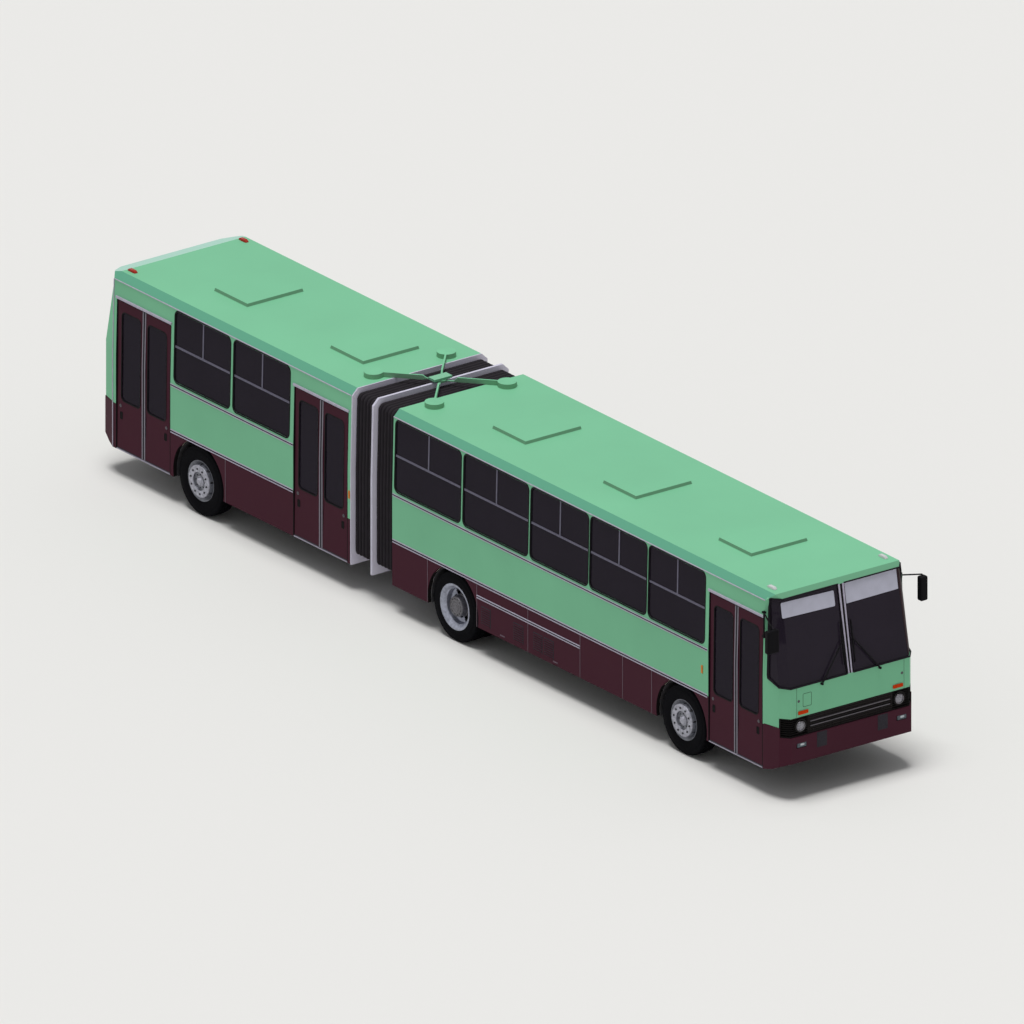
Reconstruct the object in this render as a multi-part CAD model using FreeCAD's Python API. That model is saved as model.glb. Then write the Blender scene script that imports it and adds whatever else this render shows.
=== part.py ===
"""Articulated city bus: two box-section bodies on three axles, joined by a turntable, a hoop and bellows.

Frame: X forward, Y to the left, Z up, millimetres, origin on the ground under the middle of the bus.
Places along the bus are stations, counted back from the nose plane: x = NOSE - station.
"""
import FreeCAD
import Part
import math
import os

V = FreeCAD.Vector

# ---- body shell ------------------------------------------------------------------------------------------
LENGTH = 16440          # nose plane to tail plane
BUMPER_PROUD = 30       # how far each bumper stands out past its plane
WIDTH = 2500
SKIRT_Z = 418           # lower edge of the side skirts
WAIST_Z = 1120          # line between skirt and upper panels
KINK_Z = 1850           # above it the sides lean inwards
ROOF_Z = 3140
EAVE_Z = ROOF_Z - 100   # top of the side walls
LEAN = 28               # how far the sides lean in between KINK_Z and EAVE_Z
WALL = 60               # wall, roof and end panel thickness
FIT = 0.3               # gap between a piece and its seat
RUN = 5                 # least gap between pieces that move past each other
PLAY = 0.8              # radial play of a shaft in its bearing
NOSE = LENGTH / 2
SIDE = WIDTH / 2
ROOF_FLAT = 2 * (SIDE - 130)    # width of the flat of the roof

# ---- stations --------------------------------------------------------------------------------------------
CORNER = 420                    # where the side wall meets the nose
FRONT_END = 9400                # rear end of the front body
PIVOT = FRONT_END + 505         # vertical axis of the articulation
REAR_START = PIVOT + 511        # front end of the rear body
TAIL_CORNER = LENGTH - 285      # where the side wall meets the tail
DOOR_W = 1296                   # between the jambs
FRONT_JAMB = CORNER + 38        # front jamb of the front door
FRONT_AXLE = FRONT_JAMB + DOOR_W + 656
DRIVE_AXLE = FRONT_END - 1470
REAR_AXLE = LENGTH - 2360
ENGINE_END = DRIVE_AXLE - 1130  # between the axles, under the floor
ENGINE_START = ENGINE_END - 1500
GEARBOX_END = ENGINE_END + 480

# ---- floor and frame -------------------------------------------------------------------------------------
FLOOR_Z = 900
FLOOR_T = 60
BEAM_W = 80
BEAM_Z = FLOOR_Z - 200  # underside of the long beams
JACK_PADS = {"front": (FRONT_AXLE + 1290, DRIVE_AXLE + 1020), "rear": (REAR_AXLE - 1030,)}
JACK_L, JACK_T = 160, 12
WELL_Z = SKIRT_Z + 10   # tread of the lowest step
STEP_DEPTH = 240        # second step
SHEET = 8               # step well, wheel house and duct sheet

# ---- doors -----------------------------------------------------------------------------------------------
DOOR_TOP = EAVE_Z - 298
DOORS = {               # name: (station of front jamb, station of rear jamb, body)
    "front_door": (FRONT_JAMB, FRONT_JAMB + DOOR_W, "front"),
    "middle_door": (REAR_START + 71, REAR_START + 71 + DOOR_W, "rear"),
    "rear_door": (TAIL_CORNER - 89 - DOOR_W, TAIL_CORNER - 89, "rear"),
}
LEAF_T = 36
LEAF_RECESS = 8         # leaf's outer face, inwards from the wall's
LEAF_BOTTOM = SKIRT_Z + 22
JAMB_GAP = 12           # closed leaf to jamb
POST_BACK = 62          # post axis, inwards from the leaf's mid-plane
POST_R = 14
POST_FROM_JAMB = 30     # post axis, from the jamb
LEAF_MEET = 8           # half the gap between two closed leaves; it lets their corners swing past
ARM_T = 16
ARM_L = 220             # post axis to the bolt that holds the leaf
ARM_W = 30
LEAF_MID = LEAF_RECESS + LEAF_T / 2              # inset of the leaf's mid-plane from the skin
POST_INSET = LEAF_MID + POST_BACK                # inset of the post's axis
ARM_LEVELS = (LEAF_BOTTOM + 80, DOOR_TOP - 102)  # heights of the two arms
GEAR_H = 110                                     # door gear case over each doorway
WELL_SIDE = 28                                   # step well past each jamb
WIDEST_LEAF = max(b - a for a, b, _ in DOORS.values()) / 2 - LEAF_MEET - POST_FROM_JAMB
WELL_DEPTH = POST_INSET + math.hypot(WIDEST_LEAF, POST_BACK + LEAF_T / 2) + 2 * RUN     # holds the leaf's swing
DOOR_WINDOW = (1204, DOOR_TOP - 162, 95, 75)     # bottom, top, outer stile, meeting stile

# ---- windows ---------------------------------------------------------------------------------------------
WINDOW_LOW, WINDOW_HIGH = KINK_Z + 38, EAVE_Z - 17
RUBBER = 20             # rubber seal round each pane, on the wall
WINDOW_R = 80
BAR_Z = WINDOW_HIGH - 570       # centre of the bar that carries the sliding panes
BAR = 34
GLASS = 6
GLASS_INSET = 14


def window_row(start, end, *shares):
    """Seals side by side from start to end: each share is (gap before it, width), stretched to fill the row."""
    scale = (end - start) / sum(gap + width for gap, width in shares)
    row, place = [], start
    for gap, width in shares:
        row.append((place + gap * scale, place + (gap + width) * scale))
        place += (gap + width) * scale
    return row


FRONT_ROW = window_row(DOORS["front_door"][1] + 96, FRONT_END - 42,
                       (0, 1385), (25, 1390), (20, 1418), (32, 1590), (40, 1608))
REAR_ROW = window_row(DOORS["middle_door"][1] + 100, DOORS["rear_door"][0] - 82, (0, 1384), (53, 1368))
BODY_WINDOWS = {        # (section, side): stations of the seals' front and rear edges
    ("front", -1): FRONT_ROW,
    ("front", 1): FRONT_ROW,
    ("rear", -1): REAR_ROW,
    ("rear", 1): [(REAR_START + 74, REAR_ROW[0][0] - 43), *REAR_ROW, (REAR_ROW[1][1] + 52, TAIL_CORNER - 95)],
}
DRIVER_WINDOW = (CORNER + 100, FRONT_ROW[0][0] - 70, 1640, WINDOW_HIGH)   # stations and heights

# ---- wheels ----------------------------------------------------------------------------------------------
TYRE_R = 535
TYRE_W = 290
BEAD_R = 290
RIM_R = 262             # inside of the rim's barrel
WHEEL_Y = SIDE - 175    # mid-plane of single and outer tyres
TWIN_PITCH = TYRE_W + 35        # between the mid-planes of twin tyres
ARCH_R = TYRE_R + 77    # cut in the wall
ARCH_TOP = 2 * TYRE_R + 50
HOUSE_R = ARCH_R - 12   # outside of the wheel house
HOUSE_Y = WHEEL_Y - TWIN_PITCH - TYRE_W / 2 - 21   # inner side of the wheel house
BEAM_Y = HOUSE_Y - BEAM_W - 44  # inner face of each long beam
SPRING_Y = BEAM_Y + BEAM_W / 2
KINGPIN_Y = WHEEL_Y - 125
KINGPIN_R = 22
HUB_R = 110
SPINDLE_R = 45

# ---- articulation ----------------------------------------------------------------------------------------
HOOP_T = 42             # middle hoop, along the bus
END_HOOP_T = 20
HOOP_DEPTH = 150        # hoop ring, measured inwards
FOLDS = 5               # folds in each half of the bellows
FOLD_OUT = 62           # bellows ridge, inwards from the body's skin
FOLD_IN = 100           # bellows valley
BELLOWS_T = 30
BELLOWS_LOW = 560       # underside of the bellows
HOOP_LOW = 410
PIN_R = 60
DISC_R = 610            # turntable plate that covers the joint, clear of the step well behind it
DISC_T = 40
WINGS = ((335, DISC_R - 100), (160, SIDE - 160))    # half length and distance from the centre line
PAD_X, PAD_Y = 735, SIDE - 590  # roof link pads from the pivot
PAD_R = 142
LINK_Z = ROOF_Z + RUN
LINK_H = 70
LINK_W = 26
LINK_PIN_R = 26

# ---- nose and tail outlines, right half: (station, distance from the centre line) -------------------------
SCREEN_Z = 1745         # lower edge of the windscreen
NOSE_TOP = ROOF_Z - 60
NOSE_LOW = [(CORNER, SIDE), (135, SIDE - 58), (0, SIDE - 174)]
NOSE_HIGH = [(CORNER, SIDE - 29), (370, SIDE - 80), (235, SIDE - 194)]
BUMPER_PLAN = [(CORNER, SIDE), (125, SIDE - 50), (-BUMPER_PROUD, SIDE - 168)]
TAIL_KINK_Z = 2000
TAIL_TOP = ROOF_Z - 80
TAIL_LOW = [(TAIL_CORNER, SIDE), (LENGTH - 45, SIDE - 60), (LENGTH, SIDE - 130)]
TAIL_HIGH = [(TAIL_CORNER, SIDE - 29), (LENGTH - 140, SIDE - 160), (LENGTH - 20, SIDE - 344)]
TAIL_BUMPER = [(TAIL_CORNER, SIDE), (LENGTH - 40, SIDE - 50), (LENGTH + BUMPER_PROUD, SIDE - 135)]
ROOF_BACK = LENGTH - 330        # rear end of the flat of the roof
REAR_WINDOW_Y, REAR_WINDOW_LOW, REAR_WINDOW_HIGH = SIDE - 390, 1800, TAIL_TOP - 180
GRILLE_LOW, GRILLE_HIGH = 980, 1280
MASK_SIDE_Z = 1130
POST_HALF = 60          # windscreen's middle post
BEYOND = 300            # how far cutters reach past the nose and the tail


def at(station):
    return NOSE - station


# ---- small shape helpers ---------------------------------------------------------------------------------
def box(x0, x1, y0, y1, z0, z1):
    return Part.makeBox(abs(x1 - x0), abs(y1 - y0), abs(z1 - z0), V(min(x0, x1), min(y0, y1), min(z0, z1)))


def prism(points, along):
    """Closed polygon of (x, y, z) points, extruded by the vector."""
    wire = Part.makePolygon([V(*p) for p in points] + [V(*points[0])])
    return Part.Face(wire).extrude(V(*along))


def prism_x(points, x0, x1):
    return prism([(x0, y, z) for y, z in points], (x1 - x0, 0, 0))


def prism_y(points, y0, y1):
    return prism([(x, y0, z) for x, z in points], (0, y1 - y0, 0))


def prism_z(points, z0, z1):
    return prism([(x, y, z0) for x, y in points], (0, 0, z1 - z0))


def rod(a, b, r):
    a, b = V(*a), V(*b)
    return Part.makeCylinder(r, (b - a).Length, a, b - a)


def fuse(shapes):
    shapes = list(shapes)
    whole = shapes[0].multiFuse(shapes[1:]) if len(shapes) > 1 else shapes[0]
    return whole.removeSplitter()


def rounded(x0, x1, z0, z1, r, y0, y1):
    """A plate with rounded corners in the XZ plane, from y0 to y1."""
    x0, x1 = min(x0, x1), max(x0, x1)
    k = r * (1 - math.sqrt(0.5))
    edges = []
    corners = [(x1, z0, -1, 1), (x1, z1, -1, -1), (x0, z1, 1, -1), (x0, z0, 1, 1)]
    ends = []
    for i, (x, z, sx, sz) in enumerate(corners):
        first = (x + sx * r, z) if i % 2 == 0 else (x, z + sz * r)
        last = (x, z + sz * r) if i % 2 == 0 else (x + sx * r, z)
        ends.append((V(first[0], y0, first[1]), V(x + sx * k, y0, z + sz * k), V(last[0], y0, last[1])))
    for i, (first, mid, last) in enumerate(ends):
        edges.append(Part.Arc(first, mid, last).toShape())
        edges.append(Part.LineSegment(last, ends[(i + 1) % 4][0]).toShape())
    return Part.Face(Part.Wire(edges)).extrude(V(0, y1 - y0, 0))


def polyhedron(low, high):
    """Solid between two rings of (x, y, z) points with as many points; uneven sides become two triangles."""
    n = len(low)
    faces = []

    def face(pts):
        faces.append(Part.Face(Part.makePolygon([V(*p) for p in pts] + [V(*pts[0])])))

    face(low)
    face(high)
    for i in range(n):
        a, b, c, d = low[i], low[(i + 1) % n], high[(i + 1) % n], high[i]
        normal = (V(*b) - V(*a)).cross(V(*d) - V(*a))
        if abs((V(*c) - V(*a)).dot(normal)) < 1e-6 * max(normal.Length, 1):
            face([a, b, c, d])
        else:
            face([a, b, c])
            face([a, c, d])
    return Part.Solid(Part.Shell(faces))


def save(name, shapes):
    shapes = shapes if isinstance(shapes, list) else [shapes]
    solids = [s for shape in shapes for s in shape.Solids]
    whole = solids[0] if len(solids) == 1 else Part.makeCompound(solids)
    whole.exportStep(f"parts/{name}.step")
    volume = sum(s.Volume for s in solids) / 1e9
    valid = all(s.isValid() for s in solids)
    print(f"{name}: {len(solids)} solids, {volume:.4f} m3{'' if valid else ', NOT VALID'}")


# ---- body cross-section ----------------------------------------------------------------------------------
def half_width(z):
    lean = 0 if z <= KINK_Z else LEAN * (z - KINK_Z) / (EAVE_Z - KINK_Z)
    return SIDE - lean


def slab(side, s0, s1, z0, z1, outer, inner):
    """Piece of the side between two insets from the skin, two stations and two heights."""
    heights = [z0] + [KINK_Z] * (z0 < KINK_Z < z1) + [z1]
    outline = [(side * (half_width(z) - outer), z) for z in heights]
    outline += [(side * (half_width(z) - inner), z) for z in reversed(heights)]
    return prism_x(outline, at(s0), at(s1))


def section(inset, low):
    """Outline of the whole body across the bus, shrunk by inset, with its underside at low."""
    eave, flat = half_width(EAVE_Z) - inset, ROOF_FLAT / 2 - inset * 0.42
    right = [(-(SIDE - inset), z) for z in (low, KINK_Z) if low < KINK_Z]
    right += [(-eave, EAVE_Z - inset * 0.42), (-flat, ROOF_Z - inset)]
    return right + [(-y, z) for y, z in reversed(right)]


def opening(s0, s1, z0, z1, r, side, inset=0):
    """Cutter through a side wall, shrunk by inset."""
    y0, y1 = sorted((side * (SIDE - 250), side * (SIDE + 50)))
    return rounded(at(s0 + inset), at(s1 - inset), z0 + inset, z1 - inset, r, y0, y1)


def arch(station, side):
    y0, y1 = sorted((side * (SIDE - WALL - 50), side * (SIDE + 50)))
    wheel = rod((at(station), y0, TYRE_R), (at(station), y1, TYRE_R), ARCH_R)
    return wheel.common(box(at(station) - ARCH_R, at(station) + ARCH_R, y0, y1, 0, ARCH_TOP))


def side_wall(section_name, side, s0, s1, axles):
    wall = slab(side, s0, s1, SKIRT_Z, EAVE_Z, 0, WALL)
    cutters = [opening(a, b, WINDOW_LOW, WINDOW_HIGH, WINDOW_R, side, RUBBER)
               for a, b in BODY_WINDOWS[(section_name, side)]]
    cutters += [arch(a, side) for a in axles]
    if side < 0:
        cutters += [box(at(a), at(b), -SIDE - 50, -SIDE + 250, 0, DOOR_TOP)
                    for a, b, body in DOORS.values() if body == section_name]
    elif section_name == "front":
        a, b, low, high = DRIVER_WINDOW
        cutters.append(opening(a, b, low, high, WINDOW_R, side, RUBBER))
    wall = wall.cut(cutters)
    if side < 0:
        wall = fuse([wall] + [slab(side, a - 30, b + 30, DOOR_TOP, DOOR_TOP + GEAR_H, WALL - 1, POST_INSET + 60)
                              for a, b, body in DOORS.values() if body == section_name])
    return wall


def pane(s0, s1, z0, z1, side, bars):
    """One window: the pane in its seal, and where it has sliding panes their bars."""
    reach = opening(s0, s1, z0, z1, WINDOW_R, side, RUBBER + FIT)
    glass = slab(side, s0, s1, z0, z1, GLASS_INSET, GLASS_INSET + GLASS)
    pieces = [glass.common(reach)]
    if bars:
        middle = (s0 + s1) / 2
        rails = [slab(side, s0, s1, BAR_Z - BAR / 2, BAR_Z + BAR / 2, GLASS_INSET - 6, GLASS_INSET + GLASS + 6),
                 slab(side, middle - BAR / 2, middle + BAR / 2, BAR_Z, z1, GLASS_INSET - 6,
                      GLASS_INSET + GLASS + 6)]
        pieces += [r.common(reach) for r in rails]
    return fuse(pieces)


def side_windows(section_name):
    panes = [pane(a, b, WINDOW_LOW, WINDOW_HIGH, side, True)
             for (name, side), table in BODY_WINDOWS.items() if name == section_name for a, b in table]
    if section_name == "front":
        a, b, low, high = DRIVER_WINDOW
        panes.append(pane(a, b, low, high, 1, False))
    return panes


# ---- nose and tail ---------------------------------------------------------------------------------------
def inset_plan(half, inset, end):
    """The right half outline moved inwards by inset, cut at its first station; end is +1 nose, -1 tail."""
    pts = [(at(s), -y) for s, y in half] + [(at(s), y) for s, y in reversed(half)]
    lines = []
    for (x0, y0), (x1, y1) in zip(pts, pts[1:]):
        dx, dy = x1 - x0, y1 - y0
        size = math.hypot(dx, dy)
        nx, ny = -dy / size * end, dx / size * end
        lines.append((x0 + nx * inset, y0 + ny * inset, dx, dy))
    moved = []
    for (ax, ay, adx, ady), (bx, by, bdx, bdy) in zip(lines, lines[1:]):
        cross = adx * bdy - ady * bdx
        t = ((bx - ax) * bdy - (by - ay) * bdx) / cross
        moved.append((ax + adx * t, ay + ady * t))
    ax, ay, adx, ady = lines[0]
    first = (pts[0][0], ay + ady * (pts[0][0] - ax) / adx)
    return [first] + moved + [(first[0], -first[1])]


def end_block(low, high, z0, z1, z2, inset, end):
    """Upright prism from z0 to z1 topped by a leaning one from z1 to z2, all moved inwards by inset."""
    plan, top = inset_plan(low, inset, end), inset_plan(high, inset, end)
    upright = prism_z(plan, z0, z1)
    leaning = polyhedron([(x, y, z1) for x, y in plan], [(x, y, z2) for x, y in top])
    return upright, leaning


def lift(s_corner, s_end, rise, end):
    """Cutter under the nose or the tail, whose lower edge sweeps up to the end."""
    x0, x1 = at(s_corner), at(s_end)
    far = x1 + end * 200
    bend = x0 + (x1 - x0) * 0.4
    low = SKIRT_Z
    pts = [(x0, low - 100), (x0, low), (bend, low + rise * 0.28), (x1, low + rise), (far, low + rise * 1.4),
           (far, low - 100)]
    return prism_y(pts, -WIDTH, WIDTH)


def build_nose():
    low, high = end_block(NOSE_LOW, NOSE_HIGH, SKIRT_Z, SCREEN_Z, NOSE_TOP, 0, 1)
    low_in, high_in = end_block(NOSE_LOW, NOSE_HIGH, SKIRT_Z, SCREEN_Z, NOSE_TOP, WALL, 1)
    shell = low.cut(low_in).cut(lift(CORNER, 0, 160, 1))
    side = NOSE_LOW[1][1]
    ahead = at(-BEYOND)
    behind = at(CORNER) - 1
    mask = shell.cut([box(behind, ahead, -side, side, 0, GRILLE_HIGH),
                      box(behind, ahead, -WIDTH, WIDTH, 0, MASK_SIDE_Z)])
    low_s, back_s, high_s = NOSE_LOW[1][0], SCREEN_BACK, NOSE_HIGH[1][0] + 6
    screen_hole = prism_y([(at(back_s), SCREEN_BEND_Z), (at(high_s), NOSE_TOP + 20), (ahead, NOSE_TOP + 20),
                           (ahead, SCREEN_Z), (at(low_s), SCREEN_Z)], -WIDTH, WIDTH)
    middle = box(behind, ahead, -POST_HALF, POST_HALF, SCREEN_Z, NOSE_TOP)
    pillars = high.cut(high_in).cut(screen_hole)
    post = high.cut(high_in).common(middle)
    trim = prism_x(section(0, 0), at(CORNER), ahead)
    save("nose_panel", fuse([mask, pillars, post]).common(trim))

    _, glass_out = end_block(NOSE_LOW, NOSE_HIGH, SKIRT_Z, SCREEN_Z, NOSE_TOP, GLASS_INSET, 1)
    _, glass_in = end_block(NOSE_LOW, NOSE_HIGH, SKIRT_Z, SCREEN_Z, NOSE_TOP, GLASS_INSET + GLASS, 1)
    hole = prism_y([(at(back_s) + FIT, SCREEN_BEND_Z + FIT), (at(high_s) + FIT, NOSE_TOP + 20),
                    (ahead, NOSE_TOP + 20), (ahead, SCREEN_Z + FIT), (at(low_s) + FIT, SCREEN_Z + FIT)],
                   -WIDTH, WIDTH)
    hole = hole.cut(box(behind, ahead, -WIDTH, WIDTH, NOSE_TOP - FIT, NOSE_TOP + 50))
    hole = hole.cut(box(behind, ahead, -POST_HALF - FIT, POST_HALF + FIT, SCREEN_Z, NOSE_TOP))
    save("windscreen", glass_out.cut(glass_in).common(hole))

    deep, _ = end_block(BUMPER_PLAN, NOSE_HIGH, SKIRT_Z, SCREEN_Z, NOSE_TOP, 0, 1)
    deep_in, _ = end_block(BUMPER_PLAN, NOSE_HIGH, SKIRT_Z, SCREEN_Z, NOSE_TOP, WALL, 1)
    bumper = deep.cut(deep_in).cut(lift(CORNER, 0, 160, 1))
    bumper = bumper.cut([box(behind, ahead, -side, side, GRILLE_LOW, NOSE_TOP),
                         box(behind, ahead, -WIDTH, WIDTH, MASK_SIDE_Z, NOSE_TOP)])
    for y in FOG_Y, -FOG_Y:
        bumper = bumper.cut(box(at(20), ahead, y - FOG_W / 2 - FIT, y + FOG_W / 2 + FIT,
                                FOG_Z - FOG_H / 2 - FIT, FOG_Z + FOG_H / 2 + FIT))
    save("front_bumper", bumper)
    build_grille(side, behind, ahead)


SCREEN_BACK, SCREEN_BEND_Z = CORNER - 68, KINK_Z    # where the windscreen's side edge bends forward
FOG_Y, FOG_Z, FOG_W, FOG_H = SIDE - 345, 848, 180, 75
HEAD_Y, HEAD_Z, HEAD_R = SIDE - 357, 1140, 84
TURN_Y, TURN_Z, TURN_W, TURN_H = SIDE - 392, 1345, 182, 54
MARKER_Y, MARKER_L, MARKER_W, MARKER_H = SIDE - 245, 180, 64, 30
MARKERS = (550, LENGTH - 440)   # stations of the front and rear pairs
GRILLE_BACK = 45        # depth of the grille's back plate behind the mask
SLATS = 7
RIBS = 11
RIB_T = 7


def nose_layer(outer, inner, z0, z1, reach):
    """Part of the nose skin between two insets and two heights, out to reach on both sides."""
    out, _ = end_block(NOSE_LOW, NOSE_HIGH, z0, z1, NOSE_TOP, outer, 1)
    inn, _ = end_block(NOSE_LOW, NOSE_HIGH, z0, z1, NOSE_TOP, inner, 1)
    return out.cut(inn).common(box(at(CORNER), at(-BEYOND), -reach, reach, z0, z1))


def build_grille(side, behind, ahead):
    """Black grille across the nose: back plate, rim, level slats, upright ribs and two bright bars."""
    low, high = GRILLE_LOW + FIT, GRILLE_HIGH - FIT
    reach = side - FIT
    back = nose_layer(GRILLE_BACK, WALL, low, high, reach)
    rim = nose_layer(4, GRILLE_BACK + 1, low, high, reach)
    rim = rim.cut(nose_layer(0, WALL, low + 18, high - 18, reach - 18))
    pitch = (high - low - 36) / (SLATS + 1)
    slats = [nose_layer(12, GRILLE_BACK + 1, low + 18 + pitch * (i + 1) - RIB_T / 2,
                        low + 18 + pitch * (i + 1) + RIB_T / 2, reach - 10) for i in range(SLATS)]
    inner = HEAD_Y - HEAD_R - 40
    ribs = []
    for i in range(RIBS):
        y = -inner + 2 * inner * i / (RIBS - 1)
        ribs.append(box(at(GRILLE_BACK + 1), at(12), y - RIB_T / 2, y + RIB_T / 2, low + 10, high - 10))
    bars = [box(at(14), at(-2), -inner + 20, inner - 20, z - 9, z + 9) for z in (HEAD_Z - 36, HEAD_Z + 28)]
    bezels = [rod((at(GRILLE_BACK + 1), y, HEAD_Z), (at(4), y, HEAD_Z), HEAD_R + 22) for y in (HEAD_Y, -HEAD_Y)]
    holes = [rod((at(GRILLE_BACK), y, HEAD_Z), (ahead, y, HEAD_Z), HEAD_R + FIT) for y in (HEAD_Y, -HEAD_Y)]
    save("grille", fuse([back, rim] + slats + ribs + bars + bezels).cut(holes))


def build_lamps():
    lamps = []
    for y in (HEAD_Y, -HEAD_Y):
        body = rod((at(GRILLE_BACK - FIT), y, HEAD_Z), (at(8), y, HEAD_Z), HEAD_R)
        ball = Part.makeSphere(HEAD_R * 2, V(at(8) - HEAD_R * 1.73, y, HEAD_Z))
        cap = rod((at(8), y, HEAD_Z), (at(-60), y, HEAD_Z), HEAD_R).common(ball)
        lamps.append(fuse([body, cap]))
    for y in (TURN_Y, -TURN_Y):
        lamps.append(box(at(-FIT), at(-14), y - TURN_W / 2, y + TURN_W / 2,
                         TURN_Z - TURN_H / 2, TURN_Z + TURN_H / 2))
    for y in (FOG_Y, -FOG_Y):
        lamps.append(box(at(20) + FIT, at(-BUMPER_PROUD - 4), y - FOG_W / 2, y + FOG_W / 2,
                         FOG_Z - FOG_H / 2, FOG_Z + FOG_H / 2))
    lamps += roof_markers(MARKERS[0])
    save("front_lamps", lamps)


def roof_markers(station):
    return [rounded_top(at(station), y) for y in (MARKER_Y, -MARKER_Y)]


def rounded_top(x, y):
    half = MARKER_L / 2
    outline = [(x - half, ROOF_Z + FIT), (x - half * 0.7, ROOF_Z + MARKER_H),
               (x + half * 0.7, ROOF_Z + MARKER_H), (x + half, ROOF_Z + FIT)]
    return prism_y(outline, y - MARKER_W / 2, y + MARKER_W / 2)


def build_tail():
    low, high = end_block(TAIL_LOW, TAIL_HIGH, SKIRT_Z, TAIL_KINK_Z, TAIL_TOP, 0, -1)
    low_in, high_in = end_block(TAIL_LOW, TAIL_HIGH, SKIRT_Z, TAIL_KINK_Z, TAIL_TOP, WALL, -1)
    deep, _ = end_block(TAIL_BUMPER, TAIL_HIGH, SKIRT_Z, WAIST_Z, TAIL_TOP, 0, -1)
    deep_in, _ = end_block(TAIL_BUMPER, TAIL_HIGH, SKIRT_Z, WAIST_Z, TAIL_TOP, WALL, -1)
    beyond = at(LENGTH + BEYOND)
    below_waist = box(at(TAIL_CORNER - 100), beyond, -WIDTH, WIDTH, 0, WAIST_Z)
    panel = fuse([low.cut(low_in).cut(below_waist), high.cut(high_in), deep.cut(deep_in)])
    panel = panel.cut(lift(TAIL_CORNER, LENGTH, 170, -1))
    panel = panel.common(prism_x(section(0, 0), at(TAIL_CORNER), beyond))
    x0, x1 = sorted((at(LENGTH - 250), at(LENGTH + 50)))
    hole = rounded_x(-REAR_WINDOW_Y, REAR_WINDOW_Y, REAR_WINDOW_LOW, REAR_WINDOW_HIGH, 110, x0, x1)
    save("tail_panel", panel.cut(hole))
    g_low, g_high = end_block(TAIL_LOW, TAIL_HIGH, SKIRT_Z, TAIL_KINK_Z, TAIL_TOP, GLASS_INSET, -1)
    i_low, i_high = end_block(TAIL_LOW, TAIL_HIGH, SKIRT_Z, TAIL_KINK_Z, TAIL_TOP, GLASS_INSET + GLASS, -1)
    y, z0, z1 = REAR_WINDOW_Y - FIT, REAR_WINDOW_LOW + FIT, REAR_WINDOW_HIGH - FIT
    reach = rounded_x(-y, y, z0, z1, 110, x0, x1)
    return fuse([g_low.cut(i_low).common(reach), g_high.cut(i_high).common(reach)])


def rounded_x(y0, y1, z0, z1, r, x0, x1):
    plate = rounded(y0, y1, z0, z1, r, 0, x1 - x0)
    plate.rotate(V(0, 0, 0), V(0, 0, 1), 90)
    plate.translate(V(x1, 0, 0))
    return plate


def rear_lamps():
    x = at(LENGTH)
    lamps = []
    for side in (1, -1):
        for z, h in ((1200, 150), (1360, 110), (1480, 110)):
            lamps.append(box(x - FIT, x - 16, side * (SIDE - 290), side * (SIDE - 190), z, z + h))
    return lamps + roof_markers(MARKERS[1])


# ---- roof ------------------------------------------------------------------------------------------------
HATCHES = {
    "front": (CORNER + 1690, FRONT_END - 4500, FRONT_END - 1830),
    "rear": (REAR_START + 1074, LENGTH - 2150),
}
HATCH_L, HATCH_W, HATCH_H = 800, 1020, 46


def build_roof(name, s0, s1, outline, plan):
    """Roof shell: the body section, the side view and the plan together."""
    skin = prism_x(section(0, EAVE_Z), at(s0), at(s1))
    skin = skin.common(prism_y(outline, -WIDTH, WIDTH)).common(prism_z(plan, EAVE_Z, ROOF_Z + 50))
    inner = [(-(half_width(EAVE_Z) - WALL), EAVE_Z), (-(ROOF_FLAT / 2 - WALL), ROOF_Z - WALL)]
    inner = inner + [(-y, z) for y, z in reversed(inner)]
    a, b = (CORNER, s1 + 1) if name == "front" else (s0 - 1, TAIL_CORNER)
    shell = skin.cut(prism_x(inner, at(a), at(b)))
    holes = [box(at(s - HATCH_L / 2 + 50), at(s + HATCH_L / 2 - 50), -HATCH_W / 2 + 50, HATCH_W / 2 - 50,
                 EAVE_Z, ROOF_Z + 50) for s in HATCHES[name]]
    save(f"{name}_roof", shell.cut(holes))
    lids = []
    for s in HATCHES[name]:
        half_l, half_w, top = HATCH_L / 2, HATCH_W / 2, ROOF_Z + HATCH_H
        low = [(at(s) - half_l, -half_w, ROOF_Z + FIT), (at(s) + half_l, -half_w, ROOF_Z + FIT),
               (at(s) + half_l, half_w, ROOF_Z + FIT), (at(s) - half_l, half_w, ROOF_Z + FIT)]
        high = [(x + (12 if x < at(s) else -12), y + (12 if y < 0 else -12), top) for x, y, z in low]
        lid = polyhedron(low, high)
        lids.append(lid.cut(box(at(s) - half_l + 30, at(s) + half_l - 30, -half_w + 30, half_w - 30,
                                ROOF_Z, top - 12)))
    save(f"{name}_hatches", lids)


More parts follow.
